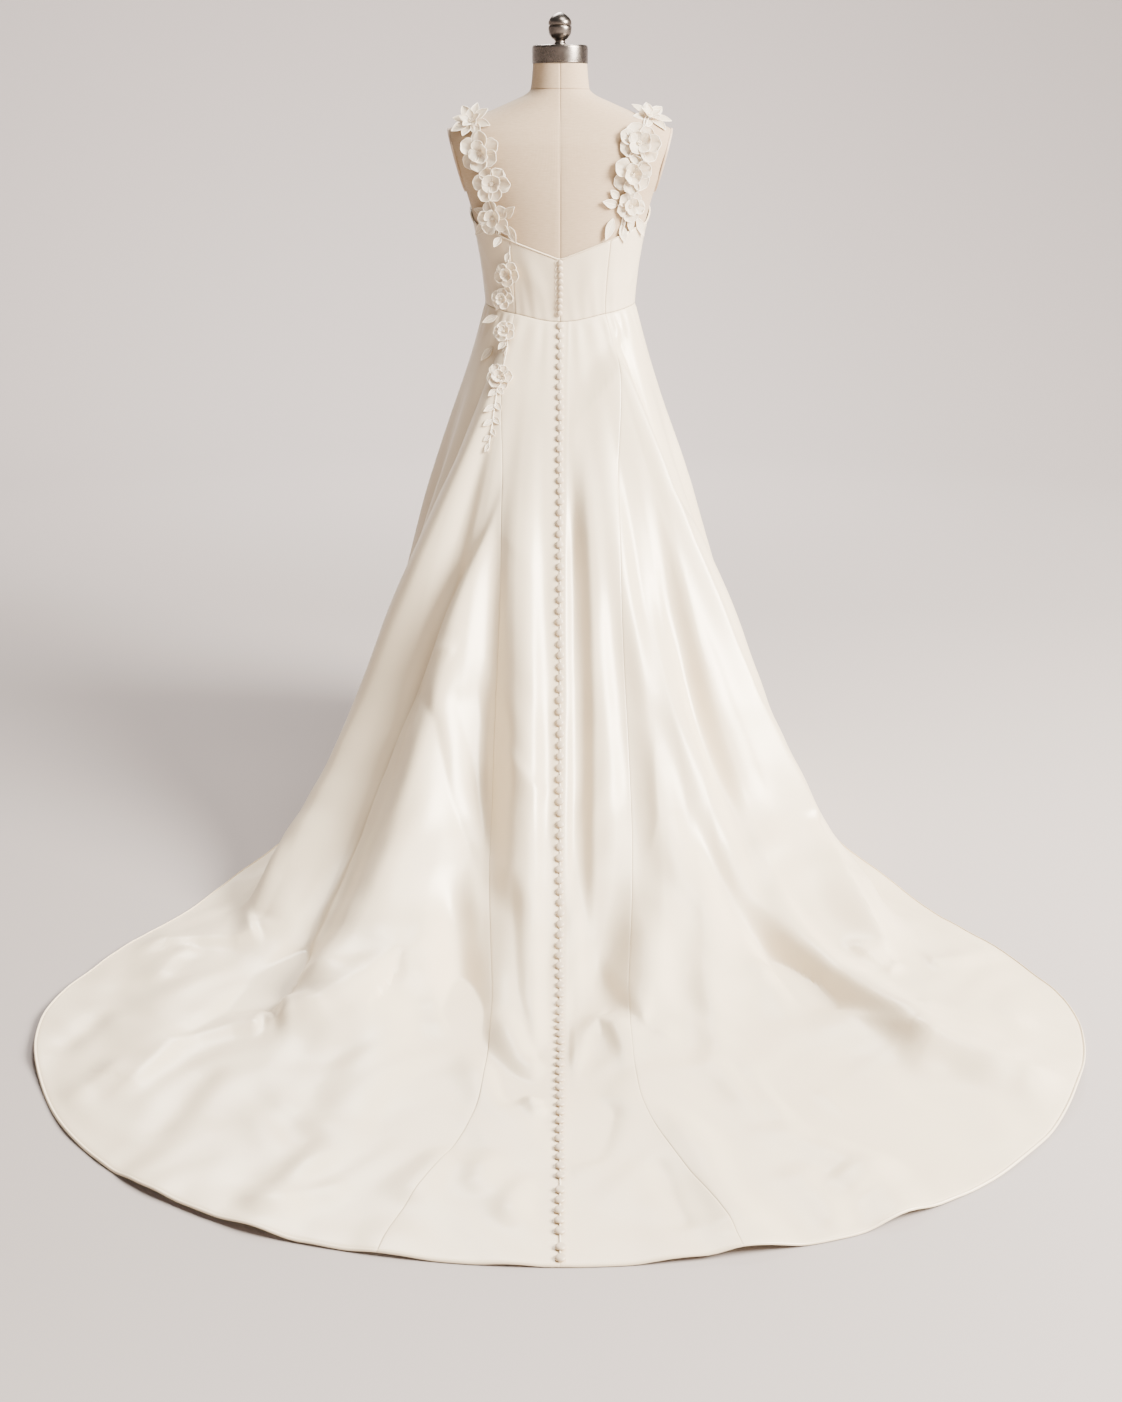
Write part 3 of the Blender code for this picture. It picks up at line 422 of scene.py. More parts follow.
def makeSatin(name, dark, light, roughness, creaseDepth):
    material, tree, shader = startMaterial(name, roughness, sheen=0.04, sheenRoughness=0.35, specular=0.9)
    shader.inputs["Specular Tint"].default_value = (1.0, 0.93, 0.83, 1)
    vector = clothVector(tree)
    weave = placeGroup(tree, weaveGroup, vector, Threads_per_metre=1600.0, Slub=0.2, Warp_share=0.75)
    crease = placeGroup(tree, creaseGroup, vector, Scale=7.0)
    colourBy(tree, shader, crease.outputs["Mottle"], dark, light, 0.3, 0.7)
    rough = spread(tree, crease.outputs["Mottle"], roughness - 0.04, roughness + 0.05)
    tree.links.new(rough, shader.inputs["Roughness"])
    addBump(tree, shader, [(crease.outputs["Height"], 0.35, creaseDepth),
                           (weave.outputs["Height"], 0.10, 0.00012)])
    return material


def makeLinen(name, dark, light):
    material, tree, shader = startMaterial(name, 0.86, sheen=0.15, sheenRoughness=0.6, specular=0.25)
    vector = clothVector(tree)
    weave = placeGroup(tree, weaveGroup, vector, Threads_per_metre=620.0, Slub=1.1, Warp_share=0.5)
    colourBy(tree, shader, weave.outputs["Slub mask"], dark, light, 0.3, 0.7)
    addBump(tree, shader, [(weave.outputs["Height"], 0.35, 0.0003)])
    return material


def makeOrganza(name, dark, light):
    material, tree, shader = startMaterial(name, 0.55, sheen=0.15, sheenRoughness=0.4, specular=0.35)
    shader.inputs["Subsurface Weight"].default_value = 0.25
    shader.inputs["Alpha"].default_value = 0.84
    shader.inputs["Subsurface Radius"].default_value = (0.008, 0.005, 0.003)
    shader.inputs["Subsurface Scale"].default_value = 1.0
    vector = clothVector(tree)
    weave = placeGroup(tree, weaveGroup, vector, Threads_per_metre=1100.0, Slub=0.5, Warp_share=0.5)
    crease = placeGroup(tree, creaseGroup, vector, Scale=60.0)
    # painted shade: the petal's colour is darker where its crease bump is low and lighter on the raised folds
    colourBy(tree, shader, crease.outputs["Height"], dark, light, 0.35, 0.75)
    addBump(tree, shader, [(crease.outputs["Height"], 0.4, 0.0012), (weave.outputs["Height"], 0.25, 0.0002)])
    return material


def makeCordMaterial(name, dark, light):
    material, tree, shader = startMaterial(name, 0.45, sheen=0.3, sheenRoughness=0.4)
    twist = noiseNode(tree, objectVector(tree), 900.0, 2, 0.5, (1.0, 1.0, 0.5))
    colourBy(tree, shader, twist, dark, light)
    addBump(tree, shader, [(twist, 0.4, 0.0004)])
    return material


def makeMetal(name, dark, light, roughness):
    material, tree, shader = startMaterial(name, roughness, metallic=1.0)
    marks = placeGroup(tree, brushedGroup, objectVector(tree), Scale=700.0)
    colourBy(tree, shader, marks.outputs["Wear"], dark, light)
    rough = spread(tree, marks.outputs["Wear"], roughness - 0.08, roughness + 0.12)
    tree.links.new(rough, shader.inputs["Roughness"])
    addBump(tree, shader, [(marks.outputs["Marks"], 0.18, 0.0002)])
    return material


def makeBoard(name, dark, light):
    material, tree, shader = startMaterial(name, 0.55)
    grain = noiseNode(tree, objectVector(tree), 60.0, 5, 0.6, (1.0, 1.0, 0.12))
    colourBy(tree, shader, grain, dark, light, 0.3, 0.7)
    addBump(tree, shader, [(grain, 0.2, 0.0006)])
    return material


def makeFloorMaterial():
    material, tree, shader = startMaterial("paleFloor", 0.75, specular=0.25)
    vector = objectVector(tree)
    length = tree.nodes.new("ShaderNodeVectorMath")
    length.operation = "LENGTH"
    tree.links.new(vector, length.inputs[0])
    # painted fall-off of light: the floor's colour grows darker from the middle out to 9 m
    far = maths(tree, "DIVIDE", length.outputs["Value"], 9.0, clamp=True)
    colourBy(tree, shader, far, studio["near"], studio["far"], 0.0, 1.0)
    addBump(tree, shader, [(noiseNode(tree, vector, 26.0, 4, 0.6), 0.06, 0.002)])
    return material


# name, dark and light tone; for satin the roughness and the depth of its soft creases in metres
satin = makeSatin("ivorySatin", (0.72, 0.605, 0.43), (0.785, 0.67, 0.49), 0.33, 0.004)
# painted shade: the bodice's satin is the skirt's satin made darker; its roughness and crease depth are its own
shadedBodiceSatin = makeSatin("shadedBodiceSatin", (0.68, 0.57, 0.41), (0.74, 0.63, 0.465), 0.35, 0.0015)
# painted shade: the covered buttons' satin is a darker copy of the dress satin
shadedButtonSatin = makeSatin("shadedButtonSatin", (0.50, 0.405, 0.295), (0.58, 0.48, 0.355), 0.40, 0.0006)
linen = makeLinen("formLinen", (0.40, 0.295, 0.185), (0.47, 0.35, 0.23))
# organza: its dark tone is painted shade in the petal creases
organza = makeOrganza("organzaPetal", (0.74, 0.60, 0.42), (0.84, 0.72, 0.55))
cord = makeCordMaterial("silkCord", (0.86, 0.76, 0.60), (0.94, 0.86, 0.72))
bead = makeCordMaterial("pearlBead", (0.80, 0.69, 0.51), (0.90, 0.80, 0.64))
nickel = makeMetal("brushedNickel", (0.125, 0.108, 0.095), (0.20, 0.175, 0.155), 0.26)
poleMetal = makeMetal("poleSteel", (0.45, 0.44, 0.43), (0.58, 0.57, 0.56), 0.35)
baseIron = makeMetal("baseIron", (0.05, 0.05, 0.05), (0.09, 0.09, 0.09), 0.55)
board = makeBoard("armPlateBoard", (0.40, 0.29, 0.20), (0.56, 0.43, 0.31))
print("materials made")


def makeBackdrop():
    start, radius, count = studio["coveStart"], studio["coveRadius"], 128
    bends = np.linspace(0, math.pi / 2, 40)
    arc = [(start + radius * math.sin(a), radius - radius * math.cos(a)) for a in bends]
    line = [(1.0, 0.0), (2.5, 0.0)] + arc + [(start + radius, studio["wallTop"])]
    turns = [2 * math.pi * k / count for k in range(count)]
    points = [(out * math.cos(a), out * math.sin(a), z) for out, z in line for a in turns]
    faces = [face[::-1] for face in joinRings(evenRings(len(line), count), ends=False)]
    mesh = bpy.data.meshes.new("backdrop")
    mesh.from_pydata(points, [], [tuple(range(count))] + faces)
    mesh.shade_smooth()
    mesh.materials.append(makeFloorMaterial())
    backdrop = bpy.data.objects.new("backdrop", mesh)
    backdrop.location.z = -0.0004
    bpy.context.scene.collection.objects.link(backdrop)


makeBackdrop()


# dress form, from the same levels as the solids

formSize = {
    "levels": [  # height, half-width, front depth, back depth
        (0.740, 0.176, 0.100, 0.120), (0.860, 0.184, 0.112, 0.132), (0.960, 0.174, 0.110, 0.120),
        (1.030, 0.159, 0.106, 0.104), (1.075, 0.1545, 0.105, 0.099), (1.140, 0.160, 0.121, 0.102),
        (1.200, 0.169, 0.139, 0.107), (1.250, 0.179, 0.145, 0.110), (1.300, 0.193, 0.134, 0.112),
        (1.350, 0.221, 0.112, 0.110), (1.400, 0.240, 0.094, 0.104), (1.428, 0.236, 0.083, 0.094),
        (1.445, 0.210, 0.076, 0.086), (1.460, 0.172, 0.070, 0.079), (1.475, 0.134, 0.066, 0.072),
        (1.490, 0.099, 0.063, 0.067), (1.503, 0.071, 0.061, 0.063), (1.513, 0.061, 0.058, 0.060)],
    "power": 2.25, "armBottom": (0.1935, 1.311), "armTop": (0.2275, 1.437),
    "plateHalfHeight": 0.066, "plateHalfWidth": 0.056, "plateThickness": 0.005,
    "neckTop": 1.5627, "neckTopRadius": 0.0552, "capBottom": 1.563, "capTop": 1.600, "capRadius": 0.0572,
}
seamGap = 0.0003


def sectionPoint(azimuth, halfWidth, front, back, out):
    sine, cosine = np.sin(np.radians(azimuth)), np.cos(np.radians(azimuth))
    depth = np.where(cosine > 0, back, front)
    share = 2 / formSize["power"]
    x = halfWidth * np.sign(sine) * np.abs(sine) ** share
    y = -depth * np.sign(cosine) * np.abs(cosine) ** share
    rise = formSize["power"] - 1
    nx = np.sign(x) * (np.abs(x) / halfWidth) ** rise / halfWidth
    ny = np.sign(y) * (np.abs(y) / depth) ** rise / depth
    size = np.hypot(nx, ny)
    return x + out * nx / size, y + out * ny / size


def bodyPoint(azimuth, height, out=0.0):
    height = np.broadcast_to(np.asarray(height, float), np.broadcast(azimuth, height).shape)
    sizes = [curveAt([(row[0], row[k]) for row in formSize["levels"]], height) for k in (1, 2, 3)]
    x, y = sectionPoint(azimuth, *sizes, out)
    return np.stack([x, y, np.broadcast_to(height, x.shape)], -1)


def ringTurns(count, seams, steps):
    extra = [s + side * step for s in seams for step in steps for side in (-1, 1)]
    turns = np.array(sorted(set([*np.linspace(-180, 180, count + 1)[:-1], *seams, *extra])))
    return turns[(turns >= -180) & (turns < 180)]


def makeTorso():
    seams, steps = (0.0, -90.0, 90.0), (0.35, 0.9)
    levels = np.concatenate([np.linspace(0.740, 1.40, 70), np.linspace(1.40, 1.513, 34)[1:]])
    turns = ringTurns(120, seams, steps)
    points = bodyPoint(turns[None, :], levels[:, None])
    groove = np.zeros(turns.shape)
    for seam in seams:
        groove = np.maximum(groove, np.interp(np.abs(turns - seam), (0, *steps), (0.0011, 0.00035, 0)))
    heap = Heap()
    ringsInto(heap, points - unit(points * (1, 1, 0)) * groove[None, :, None], turns, weaveRadius["body"])
    torso = makePiece("padded_torso", heap, [linen])
    work = bmesh.new()
    work.from_mesh(torso.data)
    for side in (-1, 1):
        cut = bmesh.ops.bisect_plane(
            work, geom=work.verts[:] + work.edges[:] + work.faces[:],
            plane_co=(side * formSize["armBottom"][0], 0, formSize["armBottom"][1]),
            plane_no=armNormal(side), clear_outer=True)
        edges = [e for e in cut["geom_cut"] if isinstance(e, bmesh.types.BMEdge)]
        bmesh.ops.holes_fill(work, edges=edges, sides=0)
    bmesh.ops.recalc_face_normals(work, faces=work.faces)
    work.to_mesh(torso.data)
    work.free()
    torso.data.set_sharp_from_angle(angle=math.radians(35))
    return dress(torso, "form_linen", "form_torso")


def armNormal(side):
    (x0, z0), (x1, z1) = formSize["armBottom"], formSize["armTop"]
    rise = Vector((x1 - x0, 0, z1 - z0)).normalized()
    return Vector((side * rise.z, 0, -rise.x))


def makeArmPlates():
    (x0, z0), (x1, z1) = formSize["armBottom"], formSize["armTop"]
    wide, tall, thick = (formSize["plate" + word] for word in ("HalfWidth", "HalfHeight", "Thickness"))
    rings = ((seamGap, 0.0008), (0.0009, 0), (thick - 0.0012, 0), (thick - 0.0003, 0.0006), (thick, 0.0016),
             (thick - 0.0004, 0.004), (thick - 0.0003, 0.02))  # how far out, how far in from the edge
    count = 56
    for word, side in (("left", -1), ("right", 1)):
        normal = armNormal(side)
        middle = Vector((side * (x0 + x1) / 2, 0, (z0 + z1) / 2))
        rise = Vector((0, 1, 0)).cross(normal).normalized()
        points = []
        for out, inset in rings:
            for k in range(count):
                angle = 2 * math.pi * k / count
                across, up = (wide - inset) * math.cos(angle), (tall - inset) * math.sin(angle)
                points.append(tuple(middle + normal * out + Vector((0, across, 0)) + rise * up))
        heap = Heap()
        heap.add(points, joinRings(evenRings(len(rings), count)), [(y, z) for x, y, z in points])
        plate = makePiece("arm_plate_" + word, heap, [board], 50, recalc=True)
        dress(plate, "arm_plate_board", "form_arm_plate_" + word)


def makeNeck():
    low, width0, depth0, _ = formSize["levels"][-1]
    low, top, topRadius = low + seamGap, formSize["neckTop"], formSize["neckTopRadius"]
    steps = (0.8, 2.0)
    turns = ringTurns(90, (0.0,), steps)
    groove = np.interp(np.abs(turns), (0, *steps), (0.0010, 0.0003, 0))
    rows = []
    for share in (0, 0.012, 0.04, 0.1, 0.2, 0.35, 0.5, 0.65, 0.8, 0.92, 1.0):
        width = width0 + (topRadius - width0) * share**0.6
        depth = depth0 + (topRadius - 0.001 - depth0) * share**0.6
        dip = np.interp(share, (0, 0.012, 0.04), (0.0012, 0.0004, 0))
        x, y = sectionPoint(turns, width, depth, depth + 0.001, -dip - groove)
        rows.append(np.stack([x, y, np.full(x.shape, low + (top - low) * share)], -1))
    heap = Heap()
    ringsInto(heap, np.array(rows), turns, weaveRadius["neck"])
    neck = dress(makePiece("padded_neck", heap, [linen]), "form_linen", "form_neck")


# radius and height of each ring: the cap's from its edge and its bottom or its top, the finial's in full
capBelow = [(-0.0030, 0), (-0.0004, 0.0002), (0, 0.0010), (0, 0.0026), (-0.0006, 0.0031), (-0.0007, 0.0036),
            (-0.0003, 0.0042)]
capAbove = [(-0.0003, -0.0070), (-0.0007, -0.0045), (-0.0018, -0.0022), (-0.0040, -0.0010)]
capCrown = [(0.030, -0.0002), (0.0150, 0), (0, 0)]
finial = [
    (0.0125, 1.6003), (0.0124, 1.6012), (0.0120, 1.6024), (0.0106, 1.6040), (0.0100, 1.6062),
    (0.0102, 1.6078), (0.0118, 1.6095), (0.0146, 1.6113), (0.0178, 1.6140), (0.0206, 1.6180),
    (0.0225, 1.6225), (0.0235, 1.6270), (0.0237, 1.6310), (0.0235, 1.6336), (0.0230, 1.6352),
    (0.0219, 1.6360), (0.0215, 1.6366), (0.0219, 1.6372), (0.0230, 1.6380), (0.0236, 1.6398),
    (0.0236, 1.6425), (0.0227, 1.6460), (0.0210, 1.6495), (0.0180, 1.6530), (0.0142, 1.6563),
    (0.0100, 1.6590), (0.0055, 1.6612), (0.0025, 1.6625), (0, 1.6630)]


def makeCapAndFinial():
    low, high, wide = formSize["capBottom"], formSize["capTop"], formSize["capRadius"]
    cap = [(wide + r, low + z) for r, z in capBelow] + [(wide + r, high + z) for r, z in capAbove]
    cap += [(r, high + z) for r, z in capCrown]
    turned = (("neck_cap", "form_cap", cap, 96, 30), ("turned_finial", "form_finial", finial, 64, 60))
    for name, node, profile, segments, sharp in turned:
        heap = Heap()
        turnedInto(heap, profile, segments)
        dress(makePiece(name, heap, [nickel], sharp), "brushed_nickel", node)


torso = makeTorso()
makeArmPlates()
makeNeck()
makeCapAndFinial()
for nodeName, material in (("form_pole", poleMetal), ("form_base", baseIron)):
    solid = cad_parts[nodeName]
    solid.data.materials.clear()
    solid.data.materials.append(material)
print("form made")


bodiceCut = {
    "waist": [(0, 1.053), (34, 1.0675), (90, 1.082), (180, 1.072)],
    "topEdge": [(0, 1.181), (6, 1.188), (20, 1.204), (34, 1.218), (58, 1.241), (76, 1.250), (90, 1.270),
                (118, 1.298), (146, 1.318), (180, 1.296)],
    "clear": 0.0016, "cloth": 0.002, "thin": 0.0015, "meanRadius": 0.13,
    "plainBand": (0.006, 0.014), "ripples": (0.0006, 0.0004),  # plain rows from the seam, less at both ends
    "panels": [  # name, start, end, columns, flat width, flat length, cut area
        ("bodice_back_left", -34, 0, 26, 0.115, 0.155, 0.0141),
        ("bodice_back_right", 0, 34, 26, 0.115, 0.155, 0.0141),
        ("bodice_side_back_left", -90, -34, 30, 0.146, 0.20, 0.0206),
        ("bodice_side_back_right", 34, 90, 30, 0.146, 0.20, 0.0206),
        ("bodice_side_front_left", -146, -90, 34, 0.158, 0.25, 0.0316),
        ("bodice_side_front_right", 90, 146, 34, 0.158, 0.25, 0.0316),
        ("bodice_front", 146, 214, 44, 0.258, 0.25, 0.0508)],
    "seamSteps": (0.0, 0.0007, 0.0018, 0.0040), "seamDips": (-0.0012, -0.00045, -0.0001, 0.0),
    "edgeSteps": (0.0, 0.0005, 0.0012, 0.0020, 0.0028, 0.0034, 0.0042, 0.0060),
    "edgeRise": (0.0000, 0.0012, 0.0018, 0.0015, 0.0005, -0.0009, -0.0004, 0.0),
    "strains": [  # soft drag lines: azimuth and height at each end, rise, half-width
        (39, 1.086, 57, 1.160, 0.0018, 0.009), (46, 1.090, 76, 1.165, 0.0016, 0.010),
        (-30, 1.205, -5, 1.080, 0.0016, 0.015), (30, 1.205, 11, 1.078, 0.0014, 0.015),
        (-76, 1.225, -54, 1.160, 0.0014, 0.009)],
}


def around(azimuth):
    return (np.asarray(azimuth, float) + 180) % 360 - 180


def stepsFrom(start, end, count, steps, perMetre, power=1.0, denseEnd=False):
    near = np.array(steps)[:, None] * np.atleast_1d(perMetre)[None, :]
    low, high = start + near[-1], end - near[-1]
    share = np.linspace(0, 1, count + 1)[1:-1]
    share = 1 - (1 - share) ** power if denseEnd else share**power
    inner = low[None, :] + (high - low)[None, :] * share[:, None]
    return np.concatenate([start + near, inner, (end - near)[::-1]])


def strainLift(spot, heights):
    radius = bodiceCut["meanRadius"]
    total, across = np.zeros(heights.shape), np.radians(spot) * radius
    for footAt, footHigh, headAt, headHigh, rise, halfWidth in bodiceCut["strains"]:
        foot = np.array([math.radians(footAt) * radius, footHigh])
        leg = np.array([math.radians(headAt) * radius, headHigh]) - foot
        t = np.clip(((across - foot[0]) * leg[0] + (heights - foot[1]) * leg[1]) / (leg @ leg), 0, 1)
        away = np.hypot(across - foot[0] - t * leg[0], heights - foot[1] - t * leg[1])
        total += rise * np.exp(-(away / halfWidth) ** 2) * np.sin(np.pi * t)
    return total


def makeBodice():
    steps, dips, radius = bodiceCut["seamSteps"], bodiceCut["seamDips"], bodiceCut["meanRadius"]
    edgeSteps, edgeRise = bodiceCut["edgeSteps"][::-1], bodiceCut["edgeRise"][::-1]
    (fromSeam, bothEnds), (wideRipple, lowRipple) = bodiceCut["plainBand"], bodiceCut["ripples"]
    main = np.linspace(0, 1, 46)[1:-1]
    made = []
    for name, start, end, count, flatWide, flatLong, area in bodiceCut["panels"]:
        trim = math.degrees(seamGap / 2 / radius)
        turns = stepsFrom(start + trim, end - trim, count, steps, math.degrees(1 / radius))[:, 0]
        seam = np.concatenate([dips, np.zeros(count - 1), dips[::-1]])
        spot = around(turns)
        low = curveAt(bodiceCut["waist"], np.abs(spot)) + seamGap / 2
        high = curveAt(bodiceCut["topEdge"], np.abs(spot))
        tall = high - low
        rows = [low + s for s in steps] + [low + fromSeam + (tall - bothEnds) * m for m in main]
        heights = np.array(rows + [high - e for e in edgeSteps])
        lift = np.concatenate([dips, np.zeros(len(main)), edgeRise])
        base = bodyPoint(turns[None, :], heights, bodiceCut["clear"] + bodiceCut["cloth"])
        normals = gridNormals(base, unit(base * (1, 1, 0)))
        share = (heights - low[None, :]) / tall[None, :]
        wide = np.radians(np.broadcast_to(spot[None, :], heights.shape))
        pull = wideRipple * np.sin(wide * 19 + 2.2 * share) * np.sin(np.pi * np.clip(share, 0, 1)) ** 0.7
        pull += lowRipple * np.sin(wide * 43 + 5 * share + 1.0) * np.clip(1 - share * 1.6, 0, 1)
        pull += strainLift(spot[None, :], heights)
        outer = base + normals * (np.minimum(seam[None, :], 0) + lift[:, None] + pull)[..., None]
        heap = Heap()
        uvs = np.stack([wide * weaveRadius["body"], heights], -1)
        shellInto(heap, outer, base - normals * bodiceCut["thin"], normals, uvs)
        piece = makePiece(name.replace("bodice", "fitted"), heap, [shadedBodiceSatin])
        dress(piece, "ivory_satin", name)
        widest = np.linalg.norm(np.diff(base, axis=1), axis=-1).sum(1).max()
        print(f"  panel {name} area {clothArea(outer):.4f} wide {widest:.3f} long {tall.max():.3f}")
        made.append(piece)
    return made


bodicePanels = makeBodice()
print("bodice made")


# skirt and train

skirtCut = {
    "hem": [(0, 1.713), (12, 1.700), (20, 1.660), (27, 1.595), (33, 1.505), (37, 1.430), (40, 1.345),
            (43, 1.190), (46, 0.990), (50, 0.860), (56, 0.720), (66, 0.590), (80, 0.510), (100, 0.465),
            (130, 0.435), (180, 0.425)],
    "touchdown": [(0, 0.78), (30, 0.78), (40, 0.72), (50, 0.60), (66, 0.50), (80, 0.475), (100, 0.455),
                  (130, 0.435), (180, 0.425)],
    "turn": [(0, 0.34), (30, 0.32), (45, 0.22), (60, 0.09), (80, 0.03), (100, 0.01), (180, 0.005)],
    "gore": [(0.00, 34), (0.12, 19), (0.20, 14), (0.36, 10.5), (0.60, 6), (0.75, 5.3), (1.00, 8.2)],
    "side": [(0, 90), (0.5, 80), (1, 76)],
    "cloth": 0.002, "thin": 0.0014, "foldMiddle": 0.33, "liftStarts": 0.86, "seamDip": 0.45,
    "placketHalfWidth": 0.009, "placketEase": 0.035, "placketRise": 0.0007, "placketEdge": (0.0092, 0.0012),
    "hemSteps": (0, 0.0008, 0.0018, 0.0028, 0.0038, 0.0046, 0.0056, 0.0070, 0.0100),
    "hemRise": (-0.0003, 0.0010, 0.0016, 0.0015, 0.0008, -0.0003, -0.0009, -0.0003, 0),
    "waves": (0.0030, 0.0015), "gathers": 0.0008, "besideButtons": (0.006, 0.024),
    "floorEase": 0.0014, "underside": 0.0002, "leastReach": 0.1,
    # ridge at waist, a third down, toe and hem; half-widths; height; rest on the floor; start; toe place
    "folds": [
        (-33, -41, -38, -39, 11, 8, 0.046, 0.010, 0.01, 0.62),
        (-28, -29, -25.5, -30, 5, 4, -0.020, 0.000, 0.05, 0.70),
        (-22, -21.5, -20.5, -27, 6, 9, 0.040, 0.012, 0.08, 0.70),
        (-19, -11.5, -9, -10, 6, 5, -0.018, 0.000, 0.03, 0.62),
        (-10, -4.5, -3.5, -3, 5, 4.5, 0.020, 0.006, 0.06, 0.74),
        (-19, -17, -14.5, -18, 5, 6, 0.010, 0.014, 0.42, 0.74),
        (-32, -32, -32, -36, 5, 6, 0.006, 0.016, 0.50, 0.82),
        (7, 4.5, 4, 3, 4, 5, -0.016, 0.000, 0.05, 0.60),
        (16, 14.5, 7, 6, 6, 5, 0.032, 0.010, 0.04, 0.65),
        (24, 19.5, 14, 13, 4.5, 5, 0.022, 0.006, 0.12, 0.62),
        (30, 26.5, 22.5, 26, 4, 4, -0.024, -0.002, 0.10, 0.70),
        (26, 24, 28, 30.5, 3.5, 4.5, 0.016, 0.022, 0.36, 0.80),
        (18, 18, 26.5, 32.5, 4, 3, 0.004, 0.018, 0.50, 0.80),
        (35, 42, 37.5, 40, 8, 10, 0.046, 0.010, 0.01, 0.68),
        (-60, -60, -58, -56, 10, 10, 0.016, 0.006, 0.06, 0.80),
        (60, 60, 58, 56, 10, 10, 0.016, 0.006, 0.06, 0.80),
        (-84, -84, -82, -82, 11, 12, 0.018, 0.014, 0.06, 0.95),
        (84, 84, 82, 82, 12, 11, 0.018, 0.014, 0.06, 0.95),
        (-114, -114, -112, -112, 13, 13, 0.024, 0.020, 0.08, 0.95),
        (112, 113, 114, 115, 13, 13, 0.024, 0.020, 0.08, 0.95),
        (-146, -147, -146, -145, 13, 14, 0.022, 0.018, 0.10, 0.95),
        (150, 148, 148, 149, 14, 13, 0.022, 0.018, 0.10, 0.95),
        (178, 179, 181, 182, 12, 13, 0.016, 0.014, 0.12, 0.95)],
    "lifts": [  # where the hem leaves the floor: azimuth, half-width, height
        (-21.0, 2.6, 0.006), (-14.1, 2.4, 0.010), (-7.4, 2.4, 0.007),
        (8.9, 2.6, 0.010), (16.2, 3.0, 0.011), (24.5, 3.0, 0.006)],
    "panels": [  # name, side, rows, columns, flat width, flat length, cut area
        ("skirt_back_left", "backLeft", 322, 38, 0.25, 2.15, 0.30),
        ("skirt_back_right", "backRight", 322, 38, 0.25, 2.15, 0.30),
        ("skirt_side_left", "sideLeft", 322, 232, 1.96, 2.16, 1.30),
        ("skirt_side_right", "sideRight", 322, 232, 1.96, 2.16, 1.30),
        ("skirt_front", "front", 130, 150, 1.66, 1.15, 1.19)],
}
